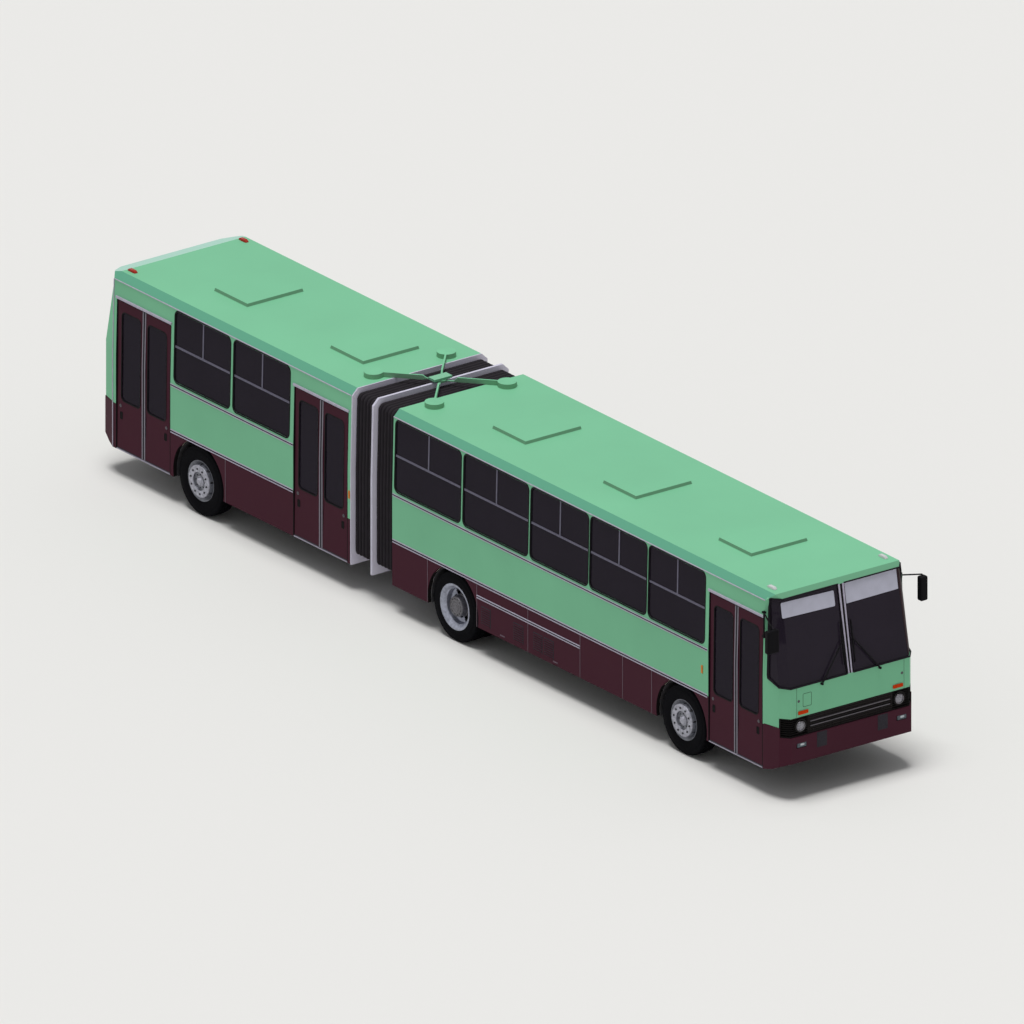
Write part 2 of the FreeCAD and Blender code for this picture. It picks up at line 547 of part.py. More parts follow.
def build_roofs():
    nose_plan = inset_plan(NOSE_HIGH, 0, 1)
    front_plan = [(at(FRONT_END), -WIDTH), (at(CORNER), -WIDTH)] + nose_plan
    front_plan += [(at(CORNER), WIDTH), (at(FRONT_END), WIDTH)]
    tip = NOSE_HIGH[2][0]
    front_side = [(at(FRONT_END), EAVE_Z), (at(CORNER), EAVE_Z), (at(CORNER), NOSE_TOP), (at(tip), NOSE_TOP),
                  (at(tip + 80), ROOF_Z), (at(FRONT_END), ROOF_Z)]
    build_roof("front", 0, FRONT_END, front_side, front_plan)
    tail_plan = inset_plan(TAIL_HIGH, 0, -1)
    rear_plan = [(at(REAR_START), -WIDTH), (at(TAIL_HIGH[0][0]), -WIDTH)] + tail_plan
    rear_plan += [(at(TAIL_HIGH[0][0]), WIDTH), (at(REAR_START), WIDTH)]
    rear_side = [(at(REAR_START), EAVE_Z), (at(TAIL_CORNER), EAVE_Z), (at(TAIL_CORNER), TAIL_TOP),
                 (at(TAIL_HIGH[2][0]), TAIL_TOP), (at(ROOF_BACK), ROOF_Z), (at(REAR_START), ROOF_Z)]
    build_roof("rear", REAR_START, LENGTH, rear_side, rear_plan)


# ---- floors ----------------------------------------------------------------------------------------------
def house(station, side):
    """Wheel house: flat-topped arch of sheet with an inner side; returned with the space it fills."""
    y0, y1 = side * HOUSE_Y, side * (SIDE - WALL - FIT)

    def drum(r, top, ya, yb):
        whole = rod((at(station), ya, TYRE_R), (at(station), yb, TYRE_R), r)
        return whole.common(box(at(station) - r, at(station) + r, ya, yb, SKIRT_Z, top))
    full = drum(HOUSE_R, ARCH_TOP, *sorted((y0, y1)))
    hollow = drum(HOUSE_R - SHEET, ARCH_TOP - SHEET, *sorted((y0 + side * SHEET, y1 + side * 10)))
    sheet = full.cut(hollow)
    low = box(at(station) - HOUSE_R, at(station) + HOUSE_R, y0 - side, y0 + side * (SHEET + 1), 0, BEAM_Z)
    return sheet.cut(low), full


def well(s_front, s_rear):
    """Step well behind a door: lowest tread, riser, second tread, and the two ends; and the space it fills."""
    x0, x1 = at(s_rear + WELL_SIDE), at(s_front - WELL_SIDE)
    y0 = -(SIDE - WALL - FIT)
    y1, y2 = -(SIDE - WELL_DEPTH), -(SIDE - WELL_DEPTH - STEP_DEPTH)
    mid_z = (WELL_Z + FLOOR_Z) / 2
    under = [(y0, WELL_Z - 30), (y1 + SHEET, WELL_Z - 30), (y1 + SHEET, mid_z - SHEET),
             (y2 + SHEET, mid_z - SHEET), (y2 + SHEET, FLOOR_Z)]
    treads = prism_x(under + [(y2, FLOOR_Z), (y2, mid_z), (y1, mid_z), (y1, WELL_Z), (y0, WELL_Z)], x0, x1)
    end = under + [(y0, FLOOR_Z)]
    ends = [prism_x(end, x0 - SHEET, x0), prism_x(end, x1, x1 + SHEET)]
    return fuse([treads] + ends), prism_x(end, x0 - SHEET, x1 + SHEET)


def build_floor(name, s0, s1, plan, axles, arm):
    half = SIDE - WALL - FIT
    under = FLOOR_Z - FLOOR_T
    plate = prism_z(plan, under, FLOOR_Z)
    beams = [box(at(s0), at(s1), side * BEAM_Y, side * (BEAM_Y + BEAM_W), BEAM_Z, under) for side in (1, -1)]
    for station in CROSS_MEMBERS[name]:
        beams.append(box(at(station) - 40, at(station) + 40, -half, half, under - CROSS_H, under))
    for station in JACK_PADS[name]:
        beams += [box(at(station) - JACK_L / 2, at(station) + JACK_L / 2, side * (BEAM_Y + FIT),
                      side * (BEAM_Y + BEAM_W - FIT), BEAM_Z - JACK_T, BEAM_Z) for side in (1, -1)]
    base = fuse([plate] + beams + [arm])
    added, spaces = [], []
    for a in axles:
        for side in (1, -1):
            sheet, full = house(a, side)
            added.append(sheet)
            spaces.append(full)
    for a, b, body in DOORS.values():
        if body == name:
            sheet, full = well(a, b)
            added.append(sheet)
            spaces.append(full)
    recess = Part.makeCylinder(DISC_R + RUN, 100, V(at(PIVOT), 0, FLOOR_Z - DISC_T - RUN))
    save(f"{name}_floor", fuse([base.cut(spaces + [recess])] + added))


CROSS_H = 80
CROSS_MEMBERS = {
    "front": (FRONT_AXLE + 890, ENGINE_START - 400, ENGINE_END + 300, DRIVE_AXLE + 870),
    "rear": (DOORS["middle_door"][1] + 517, REAR_AXLE - 780, REAR_AXLE + 660),
}
ARM_Z = BEAM_Z - 60     # underside of the front body's coupling arm
ARM_H = 60
BAR_LOW = ARM_Z + ARM_H + RUN        # middle hoop's cross bar
BAR_H = 50
REAR_ARM_LOW = BAR_LOW + BAR_H + RUN
REAR_ARM_H = 60
COLUMN_R = 90


def coupling_arm(base_x, z0, z1, boss_r):
    x = at(PIVOT)
    back = 250 if base_x > x else -250
    plate = prism_z([(base_x + back, -BEAM_Y - BEAM_W), (base_x, -BEAM_Y - BEAM_W), (x, -boss_r), (x, boss_r),
                     (base_x, BEAM_Y + BEAM_W), (base_x + back, BEAM_Y + BEAM_W)], z0, z1)
    return fuse([plate, Part.makeCylinder(boss_r, z1 - z0, V(x, 0, z0))])


def build_floors():
    half = SIDE - WALL - FIT
    nose = inset_plan(NOSE_LOW, WALL + FIT, 1)
    front = [(at(FRONT_END), -half)] + nose + [(at(FRONT_END), half)]
    arm = coupling_arm(at(FRONT_END), ARM_Z, ARM_Z + ARM_H, 150)
    pin = Part.makeCylinder(PIN_R, REAR_ARM_LOW + REAR_ARM_H - ARM_Z, V(at(PIVOT), 0, ARM_Z))
    build_floor("front", FRONT_AXLE - HOUSE_R, FRONT_END, front, (FRONT_AXLE, DRIVE_AXLE), fuse([arm, pin]))
    tail = inset_plan(TAIL_LOW, WALL + FIT, -1)
    rear = [(at(REAR_START), -half)] + tail + [(at(REAR_START), half)]
    bore = Part.makeCylinder(COLUMN_R + PLAY, 400, V(at(PIVOT), 0, ARM_Z))
    arm = coupling_arm(at(REAR_START), REAR_ARM_LOW, REAR_ARM_LOW + REAR_ARM_H, 170).cut(bore)
    build_floor("rear", REAR_START, LENGTH - 300, rear, (REAR_AXLE,), arm)


# ---- articulation ----------------------------------------------------------------------------------------
def ring(s0, s1, outer, inner, low_out, low_in):
    hole = prism_x(section(inner, low_in), at(s0 - 1), at(s1 + 1))
    return prism_x(section(outer, low_out), at(s0), at(s1)).cut(hole)


def bellows(s0, s1):
    """Folded tube: ridges and valleys by turns, a loft through the body's own outline."""
    count = 2 * FOLDS + 1

    def skin(extra):
        wires = []
        for i in range(count):
            inset = (FOLD_IN if i % 2 == 0 else FOLD_OUT) + extra
            low = BELLOWS_LOW + (FOLD_IN - FOLD_OUT) * (i % 2 == 0) + extra
            x = at(s0 + (s1 - s0) * i / (count - 1))
            pts = [V(x, y, z) for y, z in soft_section(inset, low)]
            wires.append(Part.makePolygon(pts + [pts[0]]))
        return Part.makeLoft(wires, True, True)
    return skin(0).cut(skin(BELLOWS_T))


def soft_section(inset, low):
    """The section with its two lower corners cut off."""
    pts = section(inset, low)
    c = 90
    (y0, z0) = pts[0]
    return [(y0 + c, z0), (y0, z0 + c)] + pts[1:-1] + [(-y0, z0 + c), (-y0 - c, z0)]


def build_articulation():
    sill = ARM_Z - 2 * RUN
    save("front_hoop", ring(FRONT_END + FIT, FRONT_END + END_HOOP_T, 30, HOOP_DEPTH, HOOP_LOW + 60, sill))
    save("rear_hoop", ring(REAR_START - END_HOOP_T, REAR_START - FIT, 0, HOOP_DEPTH, HOOP_LOW, sill))
    hoop = ring(PIVOT - HOOP_T / 2, PIVOT + HOOP_T / 2, 0, HOOP_DEPTH, HOOP_LOW, sill)
    x, half = at(PIVOT), SIDE - HOOP_DEPTH + 20
    bar = fuse([box(x - HOOP_T / 2, x + HOOP_T / 2, -half, half, BAR_LOW, BAR_LOW + BAR_H),
                box(x - 60, x + 60, 80 - half, half - 80, BAR_LOW, BAR_LOW + BAR_H),
                Part.makeCylinder(150, BAR_H, V(x, 0, BAR_LOW))])
    column = Part.makeCylinder(COLUMN_R, FLOOR_Z - BAR_LOW - DISC_T, V(x, 0, BAR_LOW))
    bore = Part.makeCylinder(PIN_R + PLAY, FLOOR_Z - BAR_LOW - DISC_T - 10, V(x, 0, BAR_LOW - 1))
    top_pin = Part.makeCylinder(LINK_PIN_R, LINK_Z + LINK_H / 2 - ROOF_Z + 20, V(x, 0, ROOF_Z - 20))
    block = box(x - 78, x + 78, -160, 160, LINK_Z + LINK_H / 2, LINK_Z + LINK_H)
    save("middle_hoop", fuse([hoop, bar, column, top_pin, block]).cut(bore))
    plate = [Part.makeCylinder(DISC_R, DISC_T - FIT, V(x, 0, FLOOR_Z - DISC_T + FIT))]
    (long_in, y_in), (long_out, y_out) = WINGS
    for side in (1, -1):
        outline = [(x - long_in, side * y_in), (x - long_out, side * y_out), (x + long_out, side * y_out),
                   (x + long_in, side * y_in)]
        plate.append(prism_z(outline, FLOOR_Z - DISC_T + FIT, FLOOR_Z))
    save("turntable", fuse(plate))
    save("bellows_front", bellows(FRONT_END + END_HOOP_T + FIT, PIVOT - HOOP_T / 2 - FIT))
    save("bellows_rear", bellows(PIVOT + HOOP_T / 2 + FIT, REAR_START - END_HOOP_T - FIT))
    save("roof_link_front", roof_link(1, LINK_Z, LINK_Z + 13))
    save("roof_link_rear", roof_link(-1, LINK_Z + 16, LINK_Z + 30))


def roof_link(way, z0, z1):
    """Two upright flat arms from their round pads to an eye on the pivot."""
    x = at(PIVOT)
    eye = Part.makeCylinder(95, z1 - z0, V(x, 0, z0))
    pieces = [eye]
    reach, top, half = math.hypot(PAD_X, PAD_Y), LINK_Z + LINK_H, LINK_W / 2
    low_end, full = x + 200, x + 260     # the arm is as low as its eye up to low_end, and full height from full
    for side in (1, -1):
        angle = math.degrees(math.atan2(side * PAD_Y, way * PAD_X))
        arm = box(low_end, x + reach, -half, half, LINK_Z, top)
        root = box(x + 60, full, -half, half, z0, z1)
        taper = prism_y([(low_end, z0), (low_end, z1), (full, top), (full, LINK_Z)], -half, half)
        bare = box(x, full, -LINK_W, LINK_W, LINK_Z - 1, top + 1)
        arm = fuse([arm.cut(bare), root, taper])
        arm.rotate(V(x, 0, 0), V(0, 0, 1), angle)
        pad_x, pad_y = x + way * PAD_X, side * PAD_Y
        pieces += [arm, Part.makeCylinder(PAD_R, LINK_Z + LINK_H - ROOF_Z - FIT, V(pad_x, pad_y, ROOF_Z + FIT))]
    return fuse(pieces).cut(Part.makeCylinder(LINK_PIN_R + PLAY, 200, V(x, 0, LINK_Z - 50)))


# ---- doors -----------------------------------------------------------------------------------------------
def build_door(name, s_front, s_rear):
    """Two leaves. Each is bolted to the arms of its own post, and swings inwards with it."""
    for leaf, jamb, way in (("front", s_front, 1), ("rear", s_rear, -1)):
        inner = (s_front + s_rear) / 2 - way * LEAF_MEET
        edge = jamb + way * JAMB_GAP
        s0, s1 = sorted((edge, inner))
        low, high, outer_stile, inner_stile = DOOR_WINDOW
        window = sorted((edge + way * outer_stile, inner - way * inner_stile))
        panel = slab(-1, s0, s1, LEAF_BOTTOM, DOOR_TOP - 7, LEAF_RECESS, LEAF_RECESS + LEAF_T)
        panel = panel.cut(opening(window[0], window[1], low, high, 70, -1))
        glass = slab(-1, window[0], window[1], low, high, LEAF_MID - GLASS / 2, LEAF_MID + GLASS / 2)
        glass = glass.common(opening(window[0], window[1], low, high, 70, -1, FIT))
        post_x, post_y = at(jamb + way * POST_FROM_JAMB), -(SIDE - POST_INSET)
        pin_x = at(jamb + way * (POST_FROM_JAMB + ARM_L))
        brackets = []
        for z in ARM_LEVELS:
            face = -(half_width(z) - LEAF_RECESS - LEAF_T)
            low = z - ARM_T / 2
            brackets.append(box(pin_x - 20, pin_x + 20, face - 4, post_y + 10, low - 10, low))
            brackets.append(Part.makeCylinder(7, ARM_T + 8, V(pin_x, post_y, low - 4)))
        save(f"{name}_{leaf}_leaf", [fuse([panel] + brackets), glass])
        post = Part.makeCylinder(POST_R, DOOR_TOP - WELL_Z - 2 * FIT, V(post_x, post_y, WELL_Z + FIT))
        arms = []
        for z in ARM_LEVELS:
            x0, x1 = sorted((post_x, pin_x))
            low = z - ARM_T / 2
            arm = box(x0, x1, post_y - ARM_W / 2, post_y + ARM_W / 2, low, low + ARM_T)
            eye = Part.makeCylinder(ARM_W / 2, ARM_T, V(pin_x, post_y, low))
            arms.append(fuse([arm, eye]).cut(Part.makeCylinder(7, ARM_T + 2, V(pin_x, post_y, low - 1))))
        save(f"{name}_{leaf}_post", fuse([post] + arms))


# ---- wheels and axles ------------------------------------------------------------------------------------
def turned(profile, station, side):
    """Solid of revolution about the wheel's axis; its profile is (distance from the centre line, radius)."""
    pts = [V(at(station), side * y, TYRE_R + r) for y, r in profile]
    face = Part.Face(Part.makePolygon(pts + [pts[0]]))
    return face.revolve(V(at(station), 0, TYRE_R), V(0, 1, 0), 360)


def tyre(mid, station, side):
    w, bulge = TYRE_W / 2, (BEAD_R + TYRE_R) / 2
    half = [(0.72 * w, BEAD_R + FIT), (w, bulge), (0.8 * w, TYRE_R - 12), (0.62 * w, TYRE_R)]
    profile = [(mid - y, r) for y, r in half] + [(mid + y, r) for y, r in reversed(half)]
    return turned(profile, station, side)


def rim(mid, station, side, disc):
    """Barrel with its two flanges, and a disc to the hub whose dish goes from the barrel to disc."""
    w = TYRE_W / 2 * 0.72
    barrel = [(mid - w, RIM_R), (mid + w, RIM_R), (mid + w, BEAD_R), (mid - w, BEAD_R)]
    t = 14
    dish = [(disc, HUB_R - 20), (disc + t, HUB_R - 20), (disc + t, HUB_R + 60), (mid + w * 0.55, RIM_R + 6),
            (mid + w * 0.55 - t, RIM_R + 6), (disc, HUB_R + 60)]
    return fuse([turned(barrel, station, side), turned(dish, station, side)])


def hub(y0, y1, station, side, r):
    return turned([(y0, SPINDLE_R + PLAY), (y0, r), (y1 - 30, r), (y1, r * 0.7), (y1, 0), (y1 - 12, 0),
                   (y1 - 12, SPINDLE_R + PLAY)], station, side)


def build_axle(name, station, steered):
    """Cross beam with its spring seats; the ends are bored for the kingpins or carry the drive axle's tubes."""
    x = at(station)
    if steered:
        end = KINGPIN_Y
        beam = box(x - 45, x + 45, -end + 40, end - 40, TYRE_R - 120, TYRE_R - 55)
        pieces = [beam]
        for side in (1, -1):
            pieces.append(Part.makeCylinder(48, 110, V(x, side * end, TYRE_R - 55)))
            pieces.append(box(x - 45, x + 45, side * (end - 130), side * (end - 10), TYRE_R - 120, TYRE_R - 5))
            spring = V(x, side * SPRING_Y, TYRE_R - 60)
            pieces.append(Part.makeCylinder(100, BEAM_Z - FIT - TYRE_R + 60, spring))
        axle = fuse(pieces)
        low, high = TYRE_R - 130, TYRE_R - 55 - FIT
        for side in (1, -1):
            axle = axle.cut(Part.makeCylinder(KINGPIN_R + PLAY, 300, V(x, side * end, TYRE_R - 150)))
            axle = axle.cut(box(x - 60, x + 60, side * (end - 60), side * (end + 60), low, high))
        save(name, axle)
        return
    end, tube, shaft_z = WHEEL_Y - TWIN_PITCH + 150, SPRING_Y + 60, TYRE_R + 40
    pieces = [rod((x, -end, TYRE_R), (x, end, TYRE_R), SPINDLE_R),
              rod((x, -tube, TYRE_R), (x, tube, TYRE_R), 75),
              Part.makeSphere(190, V(x, 0, TYRE_R)).common(box(x - 190, x + 190, -130, 130, 0, BEAM_Z)),
              rod((at(station - 160), 0, shaft_z), (at(GEARBOX_END + FIT), 0, shaft_z), 45)]
    for side in (1, -1):
        pieces.append(Part.makeCylinder(90, BEAM_Z - FIT - TYRE_R, V(x, side * SPRING_Y, TYRE_R)))
    save(name, fuse(pieces))


def build_knuckle(name, station, side):
    """Fork round the axle's eye with its kingpin, and the spindle that carries the wheel."""
    x, y = at(station), side * KINGPIN_Y
    top, low = TYRE_R + 55 + RUN, TYRE_R - 55 - RUN
    reach = side * (KINGPIN_Y + 62)
    pieces = [rod((x, y, low - 36), (x, y, top + 36), KINGPIN_R)]
    for z in (low - 36, top):
        pieces.append(Part.makeCylinder(46, 36, V(x, y, z)))
        pieces.append(box(x - 46, x + 46, y, reach + side * 24, z, z + 36))
    pieces.append(box(x - 46, x + 46, reach, reach + side * 24, low - 36, top + 36))
    pieces.append(rod((x, reach, TYRE_R), (x, side * (WHEEL_Y + 90), TYRE_R), SPINDLE_R))
    save(name, fuse(pieces))


def twin_wheels(side):
    """Outer and inner tyre, and one steel piece: both rims, both discs and the hub between them."""
    inner, half = WHEEL_Y - TWIN_PITCH, TYRE_W / 2 * 0.72
    disc = (WHEEL_Y + inner) / 2
    barrel = [(inner - half, RIM_R), (inner + half, RIM_R), (inner + half, BEAD_R), (inner - half, BEAD_R)]
    dish = [(disc - 20, HUB_R), (disc + 10, HUB_R), (disc + 10, HUB_R + 80), (inner + 70, RIM_R + 6),
            (inner + 56, RIM_R + 6), (disc - 20, HUB_R + 80)]
    wheel = fuse([rim(WHEEL_Y, DRIVE_AXLE, side, disc + FIT), turned(barrel, DRIVE_AXLE, side),
                  turned(dish, DRIVE_AXLE, side), hub(inner - 60, disc + 150, DRIVE_AXLE, side, HUB_R + 40)])
    return [tyre(WHEEL_Y, DRIVE_AXLE, side), tyre(inner, DRIVE_AXLE, side), wheel]


def build_running_gear():
    build_axle("front_axle", FRONT_AXLE, True)
    build_axle("drive_axle", DRIVE_AXLE, False)
    build_axle("rear_axle", REAR_AXLE, True)
    for side, name in ((1, "left"), (-1, "right")):
        for axle, station in (("front", FRONT_AXLE), ("rear", REAR_AXLE)):
            build_knuckle(f"{axle}_knuckle_{name}", station, side)
            disc = WHEEL_Y + 62
            wheel = fuse([rim(WHEEL_Y, station, side, disc),
                          hub(WHEEL_Y - 30, WHEEL_Y + 125, station, side, HUB_R)])
            save(f"{axle}_wheel_{name}", [tyre(WHEEL_Y, station, side), wheel])
        save(f"drive_wheels_{name}", twin_wheels(side))
    width = BEAM_Y - FIT
    block = box(at(ENGINE_START), at(ENGINE_END), -width, width, 430, FLOOR_Z - FLOOR_T - 40)
    gearbox = box(at(ENGINE_END), at(GEARBOX_END), -190, 190, 450, FLOOR_Z - FLOOR_T - CROSS_H - 10)
    save("engine", fuse([block, gearbox]))


# ---- inside ----------------------------------------------------------------------------------------------
SEAT_W = SIDE - 400
SEAT_PITCH = 750
SEAT_CLEAR = 160        # a seat's station past the edge of a wheel house


def seat_rows(first, last, *axles):
    """Rows at the pitch from the first station; they start again behind a wheel house in their way."""
    rows, place = [], first
    while place <= last:
        blocked = [a + HOUSE_R + SEAT_CLEAR for a in axles if abs(place - a) < HOUSE_R + SEAT_CLEAR]
        if blocked:
            place = blocked[0]
        else:
            rows.append(place)
            place += SEAT_PITCH
    return rows


SEAT_ROWS = {           # (section, side): stations
    ("front", -1): seat_rows(FRONT_AXLE + 990, FRONT_END - 300, DRIVE_AXLE),
    ("front", 1): seat_rows(FRONT_AXLE + 840, FRONT_END - 300, DRIVE_AXLE),
    ("rear", -1): seat_rows(DOORS["middle_door"][1] + 367, DOORS["rear_door"][0] - 300, REAR_AXLE),
    ("rear", 1): seat_rows(PIVOT + DISC_R + 435, TAIL_CORNER - 300, REAR_AXLE),
}


def seat(station, side):
    x = at(station)
    low, high, top = FLOOR_Z + 400, FLOOR_Z + 470, FLOOR_Z + 1030
    profile = [(x - 60, FLOOR_Z), (x + 150, FLOOR_Z), (x + 170, low), (x + 240, low + 20), (x + 240, high + 20),
               (x - 130, high), (x - 200, top), (x - 245, top), (x - 190, low), (x - 60, low)]
    y0 = side * (SIDE - WALL - 25)
    return prism_y(profile, *sorted((y0, y0 - side * SEAT_W)))


def build_inside():
    for name in ("front", "rear"):
        rows = [(s, side) for (body, side), table in SEAT_ROWS.items() if body == name for s in table]
        save(f"{name}_seats", [seat(s, side) for s, side in rows])
    f, y_wheel = FLOOR_Z, SIDE - 630
    desk = prism_y([(at(130), f), (at(130), f + 660), (at(330), f + 720), (at(620), f + 600),
                    (at(640), f + 540), (at(420), f + 480), (at(380), f)], -350, SIDE - 170)
    ring_at = V(at(760), y_wheel, f + 740)
    wheel = Part.makeTorus(225, 16, ring_at, V(-0.4, 0, 0.92))
    column = rod((at(520), y_wheel, f + 540), (at(760), y_wheel, f + 740), 28)
    spoke = box(at(760) - 15, at(760) + 15, y_wheel - 225, y_wheel + 225, f + 728, f + 752)
    seat_box = prism_y([(at(1430), f), (at(1130), f), (at(1130), f + 430), (at(1040), f + 450),
                        (at(1040), f + 530), (at(1440), f + 510), (at(1520), f + 1180), (at(1590), f + 1180),
                        (at(1530), f + 430), (at(1430), f + 430)], y_wheel - 240, y_wheel + 260)
    behind = FRONT_AXLE - HOUSE_R - 20
    screen = box(at(behind - 30), at(behind), 150, SIDE - WALL - FIT, f, KINK_Z)
    save("driver_place", [fuse([desk, column, wheel, spoke]), seat_box, screen])


# ---- mirrors and wipers ----------------------------------------------------------------------------------
def build_mirrors():
    def housing(x, y, z, depth, width, height):
        shell = box(x - depth / 2, x + depth / 2, y - width / 2, y + width / 2, z - height / 2, z + height / 2)
        return shell.makeFillet(28, shell.Edges)
    top = NOSE_TOP
    tube_y, y = -half_width(top - 600) - FIT - 28, -SIDE - 142
    right = [housing(at(35), y, top - 520, 100, 210, 360),
             rod((at(400), tube_y, top - 610), (at(400), tube_y, top - 200), 13),
             rod((at(400), tube_y, top - 220), (at(60), y, top - 280), 11),
             rod((at(60), y, top - 270), (at(45), y, top - 380), 11)]
    for z in (top - 590, top - 220):
        right.append(box(at(445), at(395), tube_y - 8, -half_width(z - 14) - FIT, z - 14, z + 14))
    y, low = SIDE + 170, top - 280
    left = [housing(at(150), y, top - 390, 110, 130, 380),
            rod((at(440), SIDE + 2, top - 242), (at(160), y, top - 180), 11),
            box(at(465), at(425), half_width(low) + FIT, SIDE + 12, low, low + 76),
            rod((at(160), y, top - 180), (at(150), y, top - 230), 11)]
    save("mirrors", [fuse(right), fuse(left)])


WIPER_Y, WIPER_Z = 525, SCREEN_Z - 33


def build_wipers():
    rake = (NOSE_HIGH[2][0] - NOSE_LOW[2][0]) / (NOSE_TOP - SCREEN_Z)
    wipers = []
    for side in (1, -1):
        def on_glass(y, z, off):
            return (at(-off + rake * (z - SCREEN_Z)), side * y, z)
        spindle = rod((at(-FIT), side * WIPER_Y, WIPER_Z), (at(-42), side * WIPER_Y, WIPER_Z), 16)
        inner = POST_HALF + 32
        arm = rod((at(-34), side * WIPER_Y, WIPER_Z), on_glass(inner, SCREEN_Z + 505, 34), 8)
        blade = rod(on_glass(inner, SCREEN_Z + 155, 24), on_glass(inner, SCREEN_Z + 775, 24), 10)
        wipers.append(fuse([spindle, arm, blade]))
    save("wipers", wipers)


def main():
    os.makedirs("parts", exist_ok=True)
    save("front_wall_right", side_wall("front", -1, CORNER, FRONT_END, (FRONT_AXLE, DRIVE_AXLE)))
    save("front_wall_left", side_wall("front", 1, CORNER, FRONT_END, (FRONT_AXLE, DRIVE_AXLE)))
    save("rear_wall_right", side_wall("rear", -1, REAR_START, TAIL_CORNER, (REAR_AXLE,)))
    save("rear_wall_left", side_wall("rear", 1, REAR_START, TAIL_CORNER, (REAR_AXLE,)))
    save("front_windows", side_windows("front"))
    build_nose()
    build_lamps()
    rear_pane = build_tail()
    save("rear_windows", side_windows("rear") + [rear_pane])
    save("rear_lamps", rear_lamps())
    build_roofs()
    build_floors()
    build_articulation()
    for name, (s_front, s_rear, _) in DOORS.items():
        build_door(name, s_front, s_rear)
    build_running_gear()
    build_inside()
    build_mirrors()
    build_wipers()


main()
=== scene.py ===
"""Two-section city bus, dressed piece by piece in the order in which it is put together."""
import bmesh
import bpy
import math
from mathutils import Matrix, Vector


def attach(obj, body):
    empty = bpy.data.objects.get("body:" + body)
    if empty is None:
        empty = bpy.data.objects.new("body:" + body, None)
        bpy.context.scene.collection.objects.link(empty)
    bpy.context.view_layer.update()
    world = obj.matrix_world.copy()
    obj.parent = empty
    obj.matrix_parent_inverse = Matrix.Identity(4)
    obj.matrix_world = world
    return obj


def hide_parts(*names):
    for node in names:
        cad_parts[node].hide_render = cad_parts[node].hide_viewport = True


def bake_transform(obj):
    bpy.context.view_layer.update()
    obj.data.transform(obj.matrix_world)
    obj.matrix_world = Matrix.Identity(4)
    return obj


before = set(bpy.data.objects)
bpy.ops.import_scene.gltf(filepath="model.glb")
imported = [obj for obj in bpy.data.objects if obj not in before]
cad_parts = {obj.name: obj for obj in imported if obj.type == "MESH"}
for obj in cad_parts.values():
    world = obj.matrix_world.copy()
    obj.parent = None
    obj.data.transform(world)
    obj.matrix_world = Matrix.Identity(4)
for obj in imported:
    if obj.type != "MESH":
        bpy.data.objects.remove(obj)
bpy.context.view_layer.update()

# ---- Chassis and floors ---------------------------------------------------------------------
# Welded box-section beams and cross members under a ribbed plywood floor, with folded sheet step
# wells and wheel houses. The steel has black chassis paint, the floor grey studded covering.
ROUGHNESS_DRIFT = 0.07
MIX_FIRST, MIX_SECOND, MIX_RESULT = 6, 7, 2


def coating(name, colour, roughness, metallic=0.0, grain=60.0, mottle=0.12, dent=0.15, fine=900.0,
            shine=0.2):
    """A finish whose colour and roughness drift a little over the piece, with a fine surface."""
    made = bpy.data.materials.new(name)
    made.use_nodes = True
    nodes, links = made.node_tree.nodes, made.node_tree.links
    shader = nodes["Principled BSDF"]
    place = nodes.new("ShaderNodeTexCoord")
    drift = nodes.new("ShaderNodeTexNoise")
    drift.inputs["Scale"].default_value = grain
    drift.inputs["Detail"].default_value = 5
    links.new(place.outputs["Object"], drift.inputs["Vector"])
    shade = nodes.new("ShaderNodeValToRGB")
    for stop, position, gain in zip(shade.color_ramp.elements, (0.3, 0.75), (1 - mottle, 1 + mottle)):
        stop.position = position
        stop.color = (*[min(1, c * gain) for c in colour], 1)
    links.new(drift.outputs["Fac"], shade.inputs["Fac"])
    links.new(shade.outputs["Color"], shader.inputs["Base Color"])
    spread = nodes.new("ShaderNodeMapRange")
    spread.inputs["To Min"].default_value = max(0.02, roughness - ROUGHNESS_DRIFT)
    spread.inputs["To Max"].default_value = min(1, roughness + ROUGHNESS_DRIFT)
    links.new(drift.outputs["Fac"], spread.inputs["Value"])
    links.new(spread.outputs["Result"], shader.inputs["Roughness"])
    shader.inputs["Metallic"].default_value = metallic
    shader.inputs["Specular IOR Level"].default_value = shine
    tooth = nodes.new("ShaderNodeTexNoise")
    tooth.inputs["Scale"].default_value = fine
    links.new(place.outputs["Object"], tooth.inputs["Vector"])
    relief = nodes.new("ShaderNodeBump")
    relief.inputs["Strength"].default_value = dent
    relief.inputs["Distance"].default_value = 0.001
    links.new(tooth.outputs["Fac"], relief.inputs["Height"])
    links.new(relief.outputs["Normal"], shader.inputs["Normal"])
    return made


def dress(finish, *nodes):
    """Gives solids of the frame their finish."""
    for node in nodes:
        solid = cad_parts[node]
        for place in solid.material_slots:
            place.material = finish
        if not solid.material_slots:
            solid.data.materials.append(finish)


